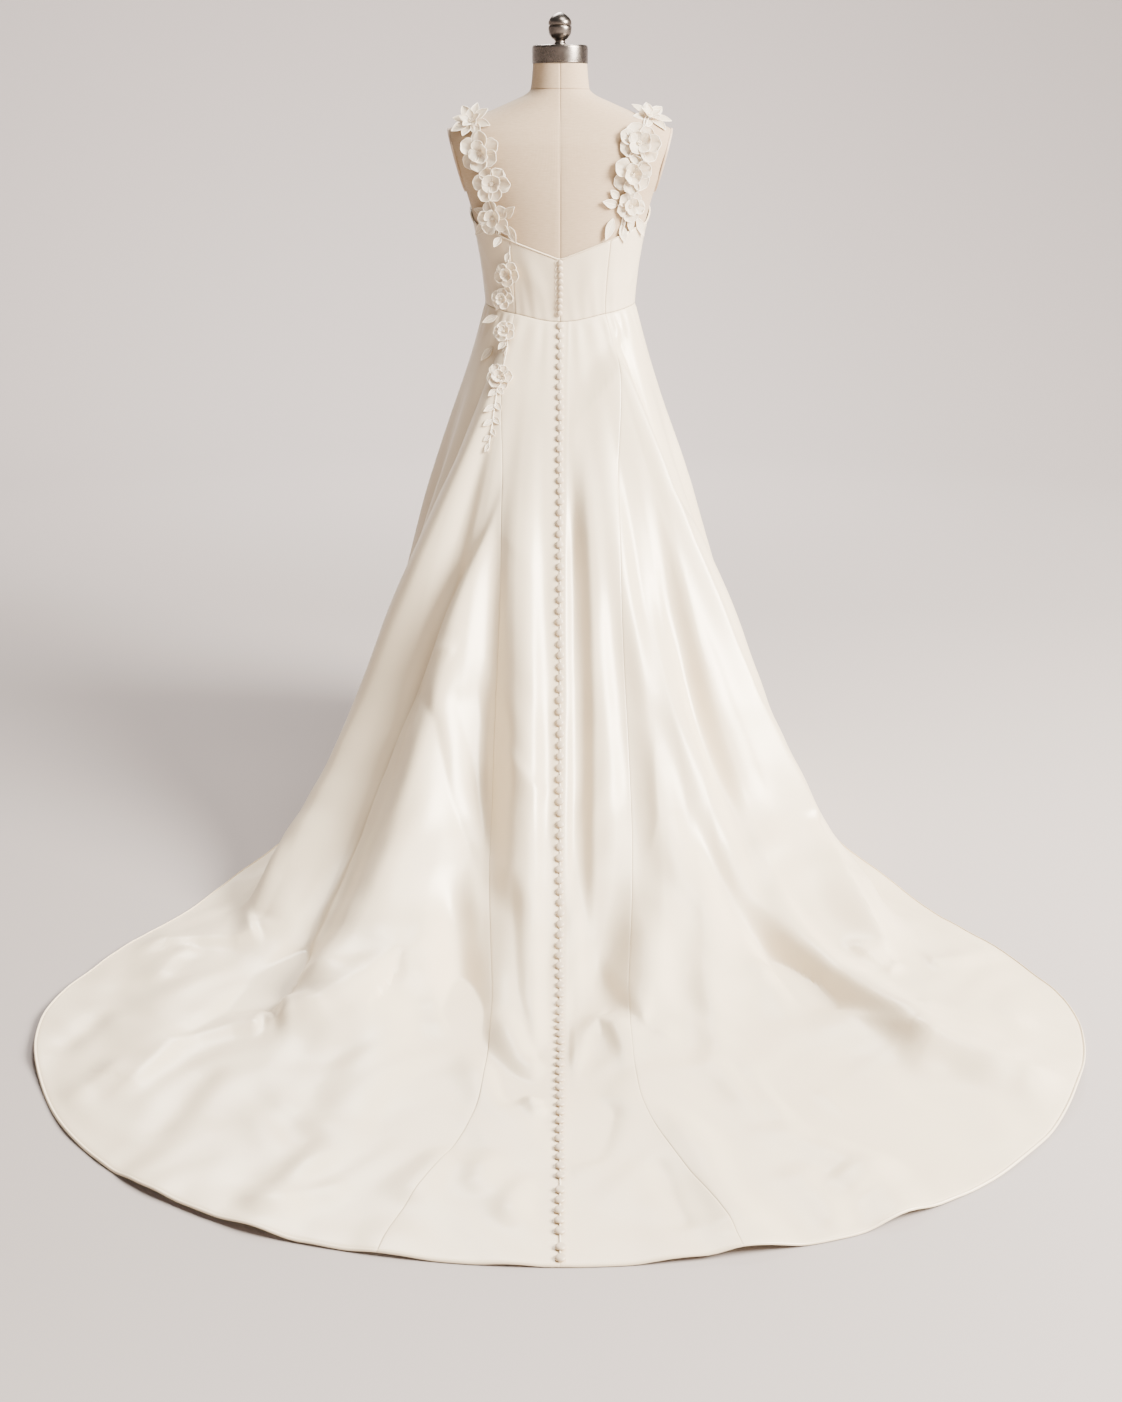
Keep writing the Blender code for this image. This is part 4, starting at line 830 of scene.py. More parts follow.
# height, width to the left and the right down the train, crispness, fade in and fade out, then the path's
# x and y over the floor, all in millimetres but the crispness
skirtCut["creases"] = [
    # left roll, its outer edge, and the valley where the second fold overlaps it
    (4, 17, 50, 0.4, 50, 60, [-94, -118, -128, -160, -168, -215, -234, -296, -309, -370, -391, -466,
     -461, -587, -508, -702, -553, -790]),
    (-12, 22, 16, 0.4, 20, 50, [-122, -94, -160, -122, -206, -160, -246, -222]),
    (-10, 24, 30, 0.4, 80, 30, [-478, -618, -508, -693, -534, -751, -556, -785]),
    (-12, 36, 17, 0.3, 160, 60, [-114, -265, -162, -341, -244, -421, -332, -524, -374, -598, -420, -709,
     -444, -775, -466, -852, -473, -978, -469, -1068]),
    # valley and ridge beside the buttons on the left
    (-12, 64, 36, 0.0, 200, 100, [-120, -230, -140, -369, -160, -459, -170, -522, -172, -594, -160, -658,
     -130, -748]),
    (14, 30, 45, 0.0, 180, 100, [-92, -215, -98, -341, -100, -426, -96, -537, -86, -607, -66, -710]),
    # the edge of the second fold, raised over the left roll
    (28, 17, 80, 0.2, 220, 80, [-86, -262, -134, -335, -214, -411, -300, -512, -342, -588, -388, -703,
     -412, -772, -434, -850, -441, -978, -440, -1060]),
    # drag lines on the second fold
    (3.5, 12, 10, 0.5, 10, 10, [-243, -447, -222, -452, -205, -458, -197, -471]),
    (-6.5, 26, 15, 0.6, 20, 100, [-279, -470, -253, -507, -228, -548, -217, -597, -205, -653, -183, -705,
     -149, -771]),
    (-6, 18, 26, 0.5, 30, 100, [-197, -501, -191, -537, -177, -580, -161, -646, -146, -699, -112, -780]),
    (-8, 28, 20, 0.0, 60, 100, [-175, -475, -162, -535, -149, -607, -135, -687, -98, -787]),
    (4, 20, 12, 0.4, 20, 20, [-116, -598, -91, -617, -55, -656, -22, -672]),
    # where the second fold breaks on the floor
    (22, 40, 55, 0.2, 30, 100, [-476, -1103, -405, -1091, -326, -1017, -282, -930, -260, -935,
     -258, -975, -264, -1055]),
    (10, 14, 14, 0.4, 10, 30, [-500, -1070, -478, -1109, -463, -1108, -470, -1001]),
    # ripples over the left of the train
    (13, 50, 20, 0.3, 20, 60, [-541, -803, -584, -816, -661, -813, -722, -822, -776, -849]),
    (-8, 22, 30, 0.4, 50, 50, [-471, -862, -515, -949, -556, -1045, -597, -1126, -630, -1175]),
    (13, 55, 24, 0.3, 20, 100, [-487, -1112, -543, -1115, -598, -1145, -631, -1177, -667, -1285,
     -706, -1344]),
    (8, 30, 24, 0.2, 30, 50, [-656, -837, -689, -881, -700, -941, -727, -980]),
    (-6, 40, 26, 0.0, 60, 50, [-358, -1389, -404, -1503, -433, -1578]),
    (-6, 40, 26, 0.0, 60, 50, [-546, -1214, -582, -1365, -615, -1446]),
    (6, 30, 24, 0.2, 40, 50, [-410, -1603, -353, -1566, -289, -1529]),
    # toe of the closure fold, left of the buttons
    (10, 30, 30, 0.0, 80, 80, [-233, -828, -224, -963, -201, -1072, -175, -1162]),
    (-18, 30, 30, 0.1, 100, 40, [-212, -747, -198, -838, -178, -972, -143, -1128, -89, -1239, -55, -1311,
     -40, -1337]),
    (5, 22, 26, 0.1, 80, 120, [-186, -716, -160, -775, -144, -865, -135, -962, -135, -1060]),
    (-12, 30, 18, 0.2, 80, 50, [-91, -765, -82, -884, -74, -1019, -55, -1150, -22, -1234]),
    (10, 16, 16, 0.3, 20, 20, [-60, -1300, -36, -1355, -14, -1345]),
    (8, 30, 30, 0.0, 60, 50, [-111, -1447, -116, -1516, -120, -1575]),
    (8, 24, 24, 0.0, 60, 50, [-44, -1498, -65, -1575, -67, -1642]),
    # right pleat: crisp edge, inner line, toe
    (21, 70, 13, 0.4, 50, 60, [94, -118, 122, -148, 158, -194, 207, -259, 241, -300, 283, -343,
     367, -434, 417, -500, 456, -565, 480, -613, 513, -701, 549, -783, 581, -866, 604, -903]),
    (10, 20, 14, 0.3, 10, 50, [604, -903, 586, -921, 547, -891, 500, -843]),
    (-13, 20, 20, 0.5, 20, 30, [118, -96, 150, -112, 198, -152, 222, -205, 236, -266]),
    (-10, 16, 30, 0.4, 20, 80, [456, -565, 498, -620, 560, -690]),
    # valley and ridges right of the buttons
    (-11, 20, 18, 0.0, 140, 120, [18, -246, 22, -373, 26, -450, 28, -531, 28, -619, 26, -717, 26, -860]),
    (21, 22, 55, 0.1, 140, 120, [50, -230, 56, -336, 62, -398, 66, -463, 70, -562, 68, -657, 66, -780,
     62, -900]),
    (-22, 46, 40, 0.0, 160, 140, [95, -340, 120, -450, 150, -600, 165, -760, 160, -900]),
    (3.5, 12, 16, 0.5, 80, 60, [177, -541, 176, -607, 179, -690, 162, -758]),
    (-17, 50, 50, 0.0, 140, 100, [150, -301, 180, -373, 220, -439, 261, -495, 309, -557, 356, -619,
     404, -677]),
    # the drawn fold that sweeps to the right of the train
    (24, 44, 50, 0.2, 500, 140, [122, -300, 134, -329, 155, -387, 172, -447, 198, -503, 232, -548,
     271, -590, 305, -630, 330, -690, 352, -763, 378, -806, 410, -852, 468, -960, 521, -1070, 563, -1145,
     600, -1200, 638, -1232]),
    (-18, 36, 28, 0.0, 200, 80, [211, -531, 216, -568, 227, -614, 238, -661, 262, -705, 303, -768,
     344, -834, 393, -899, 434, -965, 470, -1035, 513, -1117, 557, -1181, 587, -1210]),
    (16, 75, 20, 0.2, 80, 80, [346, -871, 374, -945, 412, -1014, 489, -1097, 561, -1171, 634, -1219,
     702, -1262, 802, -1300]),
    (9, 20, 35, 0.3, 20, 30, [649, -903, 715, -885, 794, -842]),
    (7, 16, 30, 0.3, 30, 50, [598, -1035, 670, -1062, 717, -1083, 800, -1105]),
    # toe of the inner fold and the mound below it
    (-8, 26, 15, 0.0, 100, 120, [55, -900, 78, -985, 102, -1060, 126, -1120, 146, -1134, 160, -1095,
     168, -1000]),
    (8.5, 15, 28, 0.0, 140, 160, [14, -1330, 22, -1230, 38, -1140, 62, -1092, 88, -1120, 104, -1190,
     112, -1290]),
    (9, 35, 30, 0.1, 80, 80, [242, -911, 250, -1050, 253, -1165, 209, -1297]),
    (-8, 26, 26, 0.0, 30, 50, [26, -1492, 57, -1371, 94, -1322]),
    (-5, 22, 14, 0.3, 40, 30, [138, -1467, 157, -1571, 174, -1650]),
    (-6, 26, 16, 0.2, 50, 50, [267, -1196, 300, -1317, 324, -1430]),
    (6, 30, 22, 0.1, 50, 50, [377, -1268, 428, -1360, 488, -1439]),
    # long low ripples that run out to the hem
    (9, 32, 40, 0.0, 100, 60, [242, -1184, 279, -1292, 317, -1399, 384, -1458, 484, -1549]),
    (8, 30, 36, 0.0, 100, 40, [159, -1343, 199, -1467, 225, -1595, 244, -1665]),
    (-7, 34, 34, 0.0, 100, 60, [310, -1220, 379, -1336, 463, -1416, 561, -1485]),
    (7, 28, 30, 0.0, 60, 40, [326, -1484, 367, -1587, 382, -1654]),
    (-8, 34, 40, 0.0, 100, 80, [-318, -1107, -358, -1230, -384, -1356, -429, -1455]),
    (8, 32, 30, 0.0, 80, 40, [-334, -1434, -384, -1533, -433, -1615]),
    (7, 30, 30, 0.0, 60, 50, [-160, -1425, -187, -1511, -225, -1592]),
    (-7, 28, 26, 0.1, 50, 50, [-759, -1039, -784, -1130, -817, -1211]),
    (8, 32, 26, 0.2, 50, 50, [-689, -1203, -723, -1283, -765, -1342]),
    (5, 24, 24, 0.0, 30, 30, [386, -1504, 432, -1571]),
]


def plainSkirt(azimuth, along):
    spot = around(azimuth)
    top = curveAt(bodiceCut["waist"], np.abs(spot)) - seamGap / 2
    waist = bodyPoint(spot, top, bodiceCut["clear"] + bodiceCut["cloth"])
    reach = curveAt(skirtCut["hem"], np.abs(spot))
    bearing = np.radians(spot)
    runX, runY = reach * np.sin(bearing) - waist[..., 0], -reach * np.cos(bearing) - waist[..., 1]
    run = np.hypot(runX, runY)
    touch = curveAt(skirtCut["touchdown"], np.abs(spot)) - np.hypot(waist[..., 0], waist[..., 1])
    turn = curveAt(skirtCut["turn"], np.abs(spot))
    drop, gone = top - skirtCut["cloth"], along * run
    cone = drop * (1 - gone / touch)
    fillet = drop / touch * (touch + turn - gone) ** 2 / (4 * turn)
    height = np.where(gone < touch - turn, cone, np.where(gone < touch + turn, fillet, 0))
    x, y = waist[..., 0] + runX * along, waist[..., 1] + runY * along
    return np.stack([x, y, height + skirtCut["cloth"]], -1)


def plainNormal(azimuth, along):
    low, high = np.maximum(along - 0.002, 0), np.minimum(along + 0.002, 1)
    across = plainSkirt(azimuth + 0.25, along) - plainSkirt(azimuth - 0.25, along)
    down = plainSkirt(azimuth, high) - plainSkirt(azimuth, low)
    return unit(np.cross(down, across))


def fromCentreBack(azimuth, plain):
    reach = np.maximum(np.hypot(plain[..., 0], plain[..., 1]), skirtCut["leastReach"])
    return np.abs(np.radians(around(azimuth))) * reach


def foldLift(azimuth, along, plain):
    total = np.zeros(np.broadcast(azimuth, along).shape)
    for waistAt, middleAt, toeAt, hemAt, minus, plus, height, rest, start, toe in skirtCut["folds"]:
        ridge = curveAt([(0, waistAt), (skirtCut["foldMiddle"], middleAt), (toe, toeAt), (1, hemAt)], along)
        away = around(azimuth - ridge)  # grows from its start, breaks at its toe, lies low to the hem
        share = np.clip(np.where(away > 0, away / plus, -away / minus), 0, 1)
        body = smoothStep(start, start + 0.30, along) * (1 - smoothStep(toe - 0.10, toe + 0.05, along))
        tail = smoothStep(toe - 0.20, toe, along) * (1 - 0.6 * smoothStep(toe, 1, along))
        total += (height * body + rest * tail) * 0.5 * (1 + np.cos(np.pi * share))
    for place, halfWidth, height in skirtCut["lifts"]:
        share = np.clip(np.abs(azimuth - place) / halfWidth, 0, 1)
        total += height * smoothStep(skirtCut["liftStarts"], 1, along) * 0.5 * (1 + np.cos(np.pi * share))
    edge = skirtCut["placketHalfWidth"]
    return total * smoothStep(edge, edge + skirtCut["placketEase"], fromCentreBack(azimuth, plain))


def creaseLift(plain):
    x, y = plain[..., 0], plain[..., 1]
    total = np.zeros(x.shape)
    for height, left, right, crisp, fadeIn, fadeOut, path in skirtCut["creases"]:
        height, left, right, fadeIn, fadeOut = (mm / 1000 for mm in (height, left, right, fadeIn, fadeOut))
        corners = np.array(path, float).reshape(-1, 2) / 1000
        reach = 2.6 * max(left, right)
        low, high = corners.min(0) - reach, corners.max(0) + reach
        near = (x > low[0]) & (x < high[0]) & (y > low[1]) & (y < high[1])
        if not near.any():
            continue
        px, py = x[near], y[near]
        legs = np.diff(corners, axis=0)
        lengths = np.hypot(legs[:, 0], legs[:, 1])
        starts = np.concatenate([[0], np.cumsum(lengths)])
        best, side, place = np.full(px.shape, 9.0), np.zeros(px.shape), np.zeros(px.shape)
        for (cx, cy), (lx, ly), length, begin in zip(corners, legs, lengths, starts):
            t = np.clip(((px - cx) * lx + (py - cy) * ly) / length**2, 0, 1)
            dx, dy = px - cx - t * lx, py - cy - t * ly
            far = np.hypot(dx, dy)
            closer = far < best
            best = np.where(closer, far, best)
            side = np.where(closer, (lx * dy - ly * dx) / (length * 0.006), side)
            place = np.where(closer, begin + t * length, place)
        width = left + (right - left) * 0.5 * (1 + np.tanh(side))
        away = best / width  # in half-widths from the path
        soft, sharp = np.exp(-away**2), np.exp(-(np.sqrt(away**2 + 0.01) - 0.1) * 1.5)
        fade = smoothStep(0, fadeIn, place) * (1 - smoothStep(starts[-1] - fadeOut, starts[-1], place))
        total[near] += height * fade * (soft + (sharp - soft) * crisp)
    return total


def waveLift(azimuth, along, plain):
    tall, fine = skirtCut["waves"]
    x, y, turn = plain[..., 0], plain[..., 1], np.radians(azimuth)
    wide = np.sin(x * 17 + 2.1 * np.sin(y * 9 + 1)) * np.sin(y * 11 + 1.7 * np.sin(x * 7))
    small = np.sin(x * 41 + 1.6 * np.sin(y * 23)) * np.sin(y * 33 + 2.2 * np.sin(x * 19 + 2))
    gathers = skirtCut["gathers"] * np.sin(turn * 38 + 1.3 * np.sin(turn * 9))
    gathers = gathers * (1 - smoothStep(0.0, 0.07, along)) * smoothStep(0, 0.008, along)
    return (tall * wide + fine * small) * smoothStep(0.06, 0.30, along) + gathers


def softMax(value, floor, ease):
    return 0.5 * (value + floor + np.sqrt((value - floor) ** 2 + ease**2))


def skirtBase(azimuth, along):
    plain = plainSkirt(azimuth, along)
    normal = plainNormal(azimuth, along)
    extra = creaseLift(plain) + waveLift(azimuth, along, plain)
    extra = extra * smoothStep(*skirtCut["besideButtons"], fromCentreBack(azimuth, plain))
    point = plain + normal * (foldLift(azimuth, along, plain) + extra)[..., None]
    point[..., 2] = softMax(point[..., 2], skirtCut["cloth"], skirtCut["floorEase"])
    return point


def clothLength(turns):
    along = np.linspace(0, 1, 120)
    line = plainSkirt(turns[None, :], along[:, None])
    return np.linalg.norm(np.diff(line, axis=0), axis=-1).sum(0)


def panelEdges(side, along):
    gore, seam = curveAt(skirtCut["gore"], along), curveAt(skirtCut["side"], along)
    return {"backLeft": (-gore, 0 * gore), "backRight": (0 * gore, gore), "sideLeft": (-seam, -gore),
            "sideRight": (gore, seam), "front": (seam, 360 - seam)}[side]


def makeSkirt():
    steps, dips = bodiceCut["seamSteps"], bodiceCut["seamDips"]
    hemSteps, hemRise = np.array(skirtCut["hemSteps"])[::-1], skirtCut["hemRise"][::-1]
    edgeAt, edgeWide = skirtCut["placketEdge"]
    made = []
    for name, side, rowCount, colCount, flatWide, flatLong, area in skirtCut["panels"]:
        edgeStart, edgeEnd = panelEdges(side, np.zeros(1))
        meanLong = float(clothLength(edgeStart + (edgeEnd - edgeStart) * np.linspace(0, 1, 9)).mean())
        top, bottom = np.array(steps) / meanLong, 1 - hemSteps / (1.05 * meanLong)
        lowest, highest = top[-1] + 0.002, bottom[0] - 0.002
        main = np.linspace(0, 1, rowCount)[1:-1]
        rows = np.concatenate([top, lowest + (highest - lowest) * main, bottom])
        rise = np.concatenate([dips, np.zeros(len(main)), hemRise])
        start, end = panelEdges(side, rows)
        startLine = plainSkirt(start, rows)
        radius = np.maximum(np.hypot(startLine[..., 0], startLine[..., 1]), skirtCut["leastReach"])
        trim = np.degrees(seamGap / 2 / radius)
        dense = {"sideLeft": (1.25, True), "sideRight": (1.25, False)}.get(side, (1.0, False))
        turns = stepsFrom(start + trim, end - trim, colCount, steps, np.degrees(1 / radius), *dense).T
        base = skirtBase(turns, np.broadcast_to(rows[:, None], turns.shape))
        normals = gridNormals(base, plainNormal(turns, rows[:, None]))
        lift = np.concatenate([dips, np.zeros(colCount - 1), dips[::-1]])[None, :] * skirtCut["seamDip"]
        lift = np.minimum(lift, rise[:, None] * (rise[:, None] < 0)) + np.maximum(rise, 0)[:, None]
        if side == "backRight":  # the edge that laps over under the buttons
            beside = np.radians(around(turns)) * radius[:, None]
            lift = lift + skirtCut["placketRise"] * np.exp(-((beside - edgeAt) / edgeWide) ** 2)
        outer = base + normals * lift[..., None]
        inner = (base - normals * skirtCut["thin"])[::2, ::2]
        inner[..., 2] = np.maximum(inner[..., 2], skirtCut["underside"])
        across = np.cumsum(np.linalg.norm(np.diff(base, axis=1, prepend=base[:, :1]), axis=-1), 1)
        downward = np.cumsum(np.linalg.norm(np.diff(base, axis=0, prepend=base[:1]), axis=-1), 0)
        heap = Heap()
        shellInto(heap, outer, inner, normals, np.stack([across - across[:, -1:] / 2, downward], -1))
        piece = makePiece(name.replace("skirt", "satin_panel"), heap, [satin])
        dress(piece, "ivory_satin", name)
        widest, longest = across[:, -1].max(), downward[-1].max()
        print(f"  panel {name} area {clothArea(outer):.3f} wide {widest:.3f} long {longest:.3f}")
        made.append(piece)
    return made


skirtPanels = makeSkirt()
print("skirt made")


# buttons

buttonCut = {
    "bodiceCount": 9, "skirtCount": 92, "runs": 4,
    "bodiceRadius": 0.0059, "skirtRadius": 0.0078, "dome": 0.0054,
    "pitch": 0.0219, "gap": 0.011, "beforeGap": (85, 90),
    "bodiceEnds": (0.0085, 0.012), "skirtEnds": (0.010, 0.014),  # before the first button, spare after the last
    "cordRadius": 0.0010, "cordStep": 0.008, "cordRise": 0.0012, "loopRadius": 0.00055, "drift": 0.0009,
    "profile": [(0.62, 0.0), (0.84, 0.10), (0.96, 0.24), (1.0, 0.40), (0.97, 0.56), (0.87, 0.73),
                (0.70, 0.87), (0.45, 0.96), (0.2, 0.995), (0, 1.0)],
}


def lengthsOf(line):
    return np.concatenate([[0], np.cumsum(np.linalg.norm(np.diff(line, axis=0), axis=1))])


def frameAlong(line, lengths, distance):
    spot, ahead, behind = (np.array([np.interp(distance + shift, lengths, line[:, k]) for k in range(3)])
                           for shift in (0, 0.002, -0.002))
    down = unit(ahead - behind)
    return spot, unit(np.cross(down, (1, 0, 0))), down


def buttonInto(heap, spot, normal, down, radius):
    across, segments = np.cross(down, normal), 18
    tip = dice.uniform(-0.06, 0.06), dice.uniform(-0.06, 0.06)
    points, rings, flat = [], [], []
    for wide, high in buttonCut["profile"]:
        count = segments if wide else 1
        rings.append(range(len(points), len(points) + count))
        for k in range(count):
            angle = 2 * math.pi * k / segments
            pucker = 1 + 0.02 * math.sin(9 * angle) * (1 - high)
            side, along = radius * wide * pucker * math.cos(angle), radius * wide * pucker * math.sin(angle)
            rise = 0.0008 + buttonCut["dome"] * high + tip[0] * side + tip[1] * along
            points.append(spot + across * side + down * along + normal * rise)
            flat.append((radius * wide * math.cos(angle), radius * wide * math.sin(angle)))
    heap.add(points, joinRings(rings), flat)


def loopInto(heap, spot, normal, down, radius):
    across = np.cross(down, normal)
    path = []
    for k in range(9):
        angle = math.pi * (0.12 + 0.76 * k / 8) - math.pi / 2
        reach = radius * (0.85 + 0.75 * math.cos(angle))
        rise = 0.0010 + 0.0004 * math.cos(angle)
        path.append(spot + across * reach + down * radius * 0.8 * math.sin(angle) + normal * rise)
    tubeInto(heap, path, buttonCut["loopRadius"], 5, 1)


def buttonRuns():
    low, high = bodiceCut["waist"][0][1] + seamGap / 2, bodiceCut["topEdge"][0][1]
    heights = low + (high - low) * np.linspace(1, 0, 60)
    line = bodyPoint(np.zeros(60), heights, bodiceCut["clear"] + bodiceCut["cloth"])
    lengths = lengthsOf(line)
    first, spare = buttonCut["bodiceEnds"]
    pitch = (lengths[-1] - spare) / buttonCut["bodiceCount"]
    places = [first + pitch * k for k in range(buttonCut["bodiceCount"])]
    runs = [("bodice", line, lengths, places, buttonCut["bodiceRadius"])]
    line = skirtBase(np.zeros(500), np.linspace(0, 1, 500))
    lengths = lengthsOf(line)
    places, (first, spare) = [], buttonCut["skirtEnds"]
    for k in range(buttonCut["skirtCount"]):
        gaps = sum(1 for count in buttonCut["beforeGap"] if k >= count)
        places.append(first + buttonCut["pitch"] * k + buttonCut["gap"] * gaps)
    room = lengths[-1] - spare - places[-1]
    places = [place * (1 + room / places[-1]) for place in places]
    each = buttonCut["skirtCount"] // buttonCut["runs"]
    for run in range(buttonCut["runs"]):
        own = places[run * each:(run + 1) * each]
        runs.append((f"skirt_{run + 1}", line, lengths, own, buttonCut["skirtRadius"]))
    return runs


def makeButtons():
    for word, line, lengths, places, radius in buttonRuns():
        heap = Heap()
        for place in places:
            spot, normal, down = frameAlong(line, lengths, place)
            drift = buttonCut["drift"] * math.sin(place * 37.0)
            buttonInto(heap, spot + np.array([drift, 0, 0]), normal, down, radius)
            if word == "bodice":
                loopInto(heap, spot, normal, down, radius)
        strand = []
        for place in np.arange(places[0] - radius, places[-1] + radius, buttonCut["cordStep"]):
            spot, normal, down = frameAlong(line, lengths, place)
            strand.append(spot + normal * buttonCut["cordRise"])
        tubeInto(heap, strand, buttonCut["cordRadius"], 6, 1)
        piece = makePiece("covered_buttons_" + word, heap, [shadedButtonSatin, cord], 50)
        dress(piece, "covered_button", "buttons_" + word)


makeButtons()
print("buttons made")


# straps, flowers and leaves

def treeOf(pieces):
    points, faces = [], []
    for piece in pieces:
        first = len(points)
        points += [v.co.copy() for v in piece.data.vertices]
        faces += [tuple(first + v for v in face.vertices) for face in piece.data.polygons]
    return BVHTree.FromPolygons(points, faces)


under = treeOf([torso] + bodicePanels + skirtPanels)


def seatOn(across, height, side):
    facing = -1 if side == "back" else 1
    spot, normal, _, _ = under.ray_cast(Vector((across, 2.5 * facing, height)), Vector((0, -facing, 0)))
    if spot is None:
        spot, normal, _, _ = under.find_nearest(Vector((across, 0.05 * facing, height)))
    if normal.y * facing < 0:
        normal = -normal
    return np.array(spot), np.array(normal)


def lifted(points, normal, clear):  # no point nearer to the cloth below it than clear
    out, above, depth = Vector(normal), 0.10, 0.16
    moved = []
    for point in points:
        start = Vector(point) + out * above
        hit, _, _, far = under.ray_cast(start, -out, depth)
        if hit is not None and far < above + clear:
            point = np.array(start - out * (far - clear))
        moved.append(np.asarray(point, float))
    return np.array(moved)


petalShapes = {
    "round": [(0, 0.24), (0.15, 0.46), (0.40, 0.84), (0.62, 1.0), (0.80, 0.93), (0.92, 0.62), (1, 0.14)],
    "pointed": [(0, 0.16), (0.18, 0.55), (0.45, 1.0), (0.70, 0.80), (0.88, 0.38), (1, 0.04)],
    "leaf": [(0, 0.08), (0.15, 0.55), (0.40, 1.0), (0.70, 0.72), (0.90, 0.26), (1, 0.03)],
}


def petalInto(heap, centre, outDir, upDir, length, halfWidth, shape, raised, cup, curl, ruffle, phase,
              base, clear, edgeRadius, vein=False):
    rows, cols, half = 9, 7, 0.00022
    s, w = np.linspace(0, 1, rows)[:, None], np.linspace(-1, 1, cols)[None, :]
    wide = halfWidth * curveAt(petalShapes[shape], s)
    x = w * wide
    y = length * (base + (1 - base) * s) * np.ones_like(w)
    z = cup * w**2 * wide + curl * length * s**2
    z = z + ruffle * np.sin(2.4 * math.pi * w + phase) * s * np.abs(w) * wide
    out, up = y * math.cos(raised) - z * math.sin(raised), y * math.sin(raised) + z * math.cos(raised)
    points = centre + x[..., None] * np.cross(upDir, outDir) + out[..., None] * outDir + up[..., None] * upDir
    points = lifted(points.reshape(-1, 3), upDir, clear).reshape(rows, cols, 3)
    normals = gridNormals(points, np.broadcast_to(upDir, points.shape))
    uvs = np.stack([x + centre[0], y + centre[2]], -1)
    shellInto(heap, points + normals * half, points - normals * half, normals, uvs)
    border = np.concatenate([points[:, 0], points[-1, 1:], points[-2::-1, -1]])
    tubeInto(heap, border + upDir * 0.0002, edgeRadius, 5, 1)
    if vein:
        tubeInto(heap, points[:, cols // 2] + upDir * 0.0003, np.linspace(0.0006, 0.0003, rows), 5, 1)


def beadInto(heap, centre, radius):
    angles = [math.pi * k / 6 for k in range(7)]
    own = Heap()
    turnedInto(own, [(max(radius * math.sin(a), 0), -radius * math.cos(a)) for a in angles], 10)
    heap.add(own.points[0] + centre, own.faces, own.uvs[0], 2)


flowerCut = {
    "halfWidths": {"round": (0.42, 0.27), "pointed": (0.25, 0.17)},  # outer and inner petals, in flower radii
    "rings": ((1.0, 0.24, 0.0024, 0.00072), (0.62, 0.62, 0.0040, 0.0006)),  # length, raised, lift, edge cord
    "cup": 0.24, "ruffle": 0.22, "base": 0.10, "clear": 0.0006,
    "stamens": 8, "stamenRadius": 0.0004, "stamenReach": 0.085, "stamenRise": 0.0095, "beadShare": 0.036,
}
flowers = [  # piece, node, across, height, radius, petals, inner petals, shape, spin, side
    ("shoulder_flower_left", "flower_left_shoulder", -0.179, 1.447, 0.044, 8, 5, "pointed", 10, "back"),
    ("strap_flower_left_2", "flower_left_2", -0.160, 1.388, 0.042, 6, 4, "round", 25, "back"),
    ("strap_flower_left_3", "flower_left_3", -0.137, 1.328, 0.038, 6, 4, "round", 5, "back"),
    ("strap_flower_left_4", "flower_left_4", -0.134, 1.260, 0.034, 5, 3, "round", 40, "back"),
    ("trail_flower_1", "flower_trail_1", -0.107, 1.148, 0.027, 5, 3, "round", 15, "back"),
    ("trail_flower_2", "flower_trail_2", -0.119, 1.096, 0.024, 5, 3, "round", 60, "back"),
    ("trail_flower_3", "flower_trail_3", -0.113, 1.030, 0.025, 5, 3, "round", 30, "back"),
    ("trail_flower_4", "flower_trail_4", -0.124, 0.945, 0.028, 6, 5, "round", 0, "back"),
    ("shoulder_flower_right", "flower_right_shoulder", 0.182, 1.455, 0.045, 7, 5, "pointed", 20, "back"),
    ("strap_flower_right_2", "flower_right_2", 0.158, 1.406, 0.044, 7, 4, "round", 0, "back"),
    ("strap_flower_right_3", "flower_right_3", 0.145, 1.346, 0.041, 6, 4, "round", 35, "back"),
    ("strap_flower_right_4", "flower_right_4", 0.141, 1.284, 0.033, 5, 3, "round", 12, "back"),
    ("front_flower_left_1", "flower_left_front_1", -0.166, 1.416, 0.034, 6, 4, "round", 12, "front"),
    ("front_flower_left_2", "flower_left_front_2", -0.148, 1.350, 0.028, 5, 3, "pointed", 44, "front"),
    ("front_flower_right_1", "flower_right_front_1", 0.166, 1.416, 0.034, 6, 4, "round", 33, "front"),
    ("front_flower_right_2", "flower_right_front_2", 0.148, 1.350, 0.028, 5, 3, "pointed", 20, "front"),
]


def flowerFrame(across, height, side):
    seat, normal = seatOn(across, height, side)
    facing = -1 if side == "back" else 1
    up = unit(normal + np.array([0, 0.6 * facing, 0.1]))
    down = unit(np.array([0, 0, -1.0]) + up * up[2])
    return seat, up, down, np.cross(up, down)


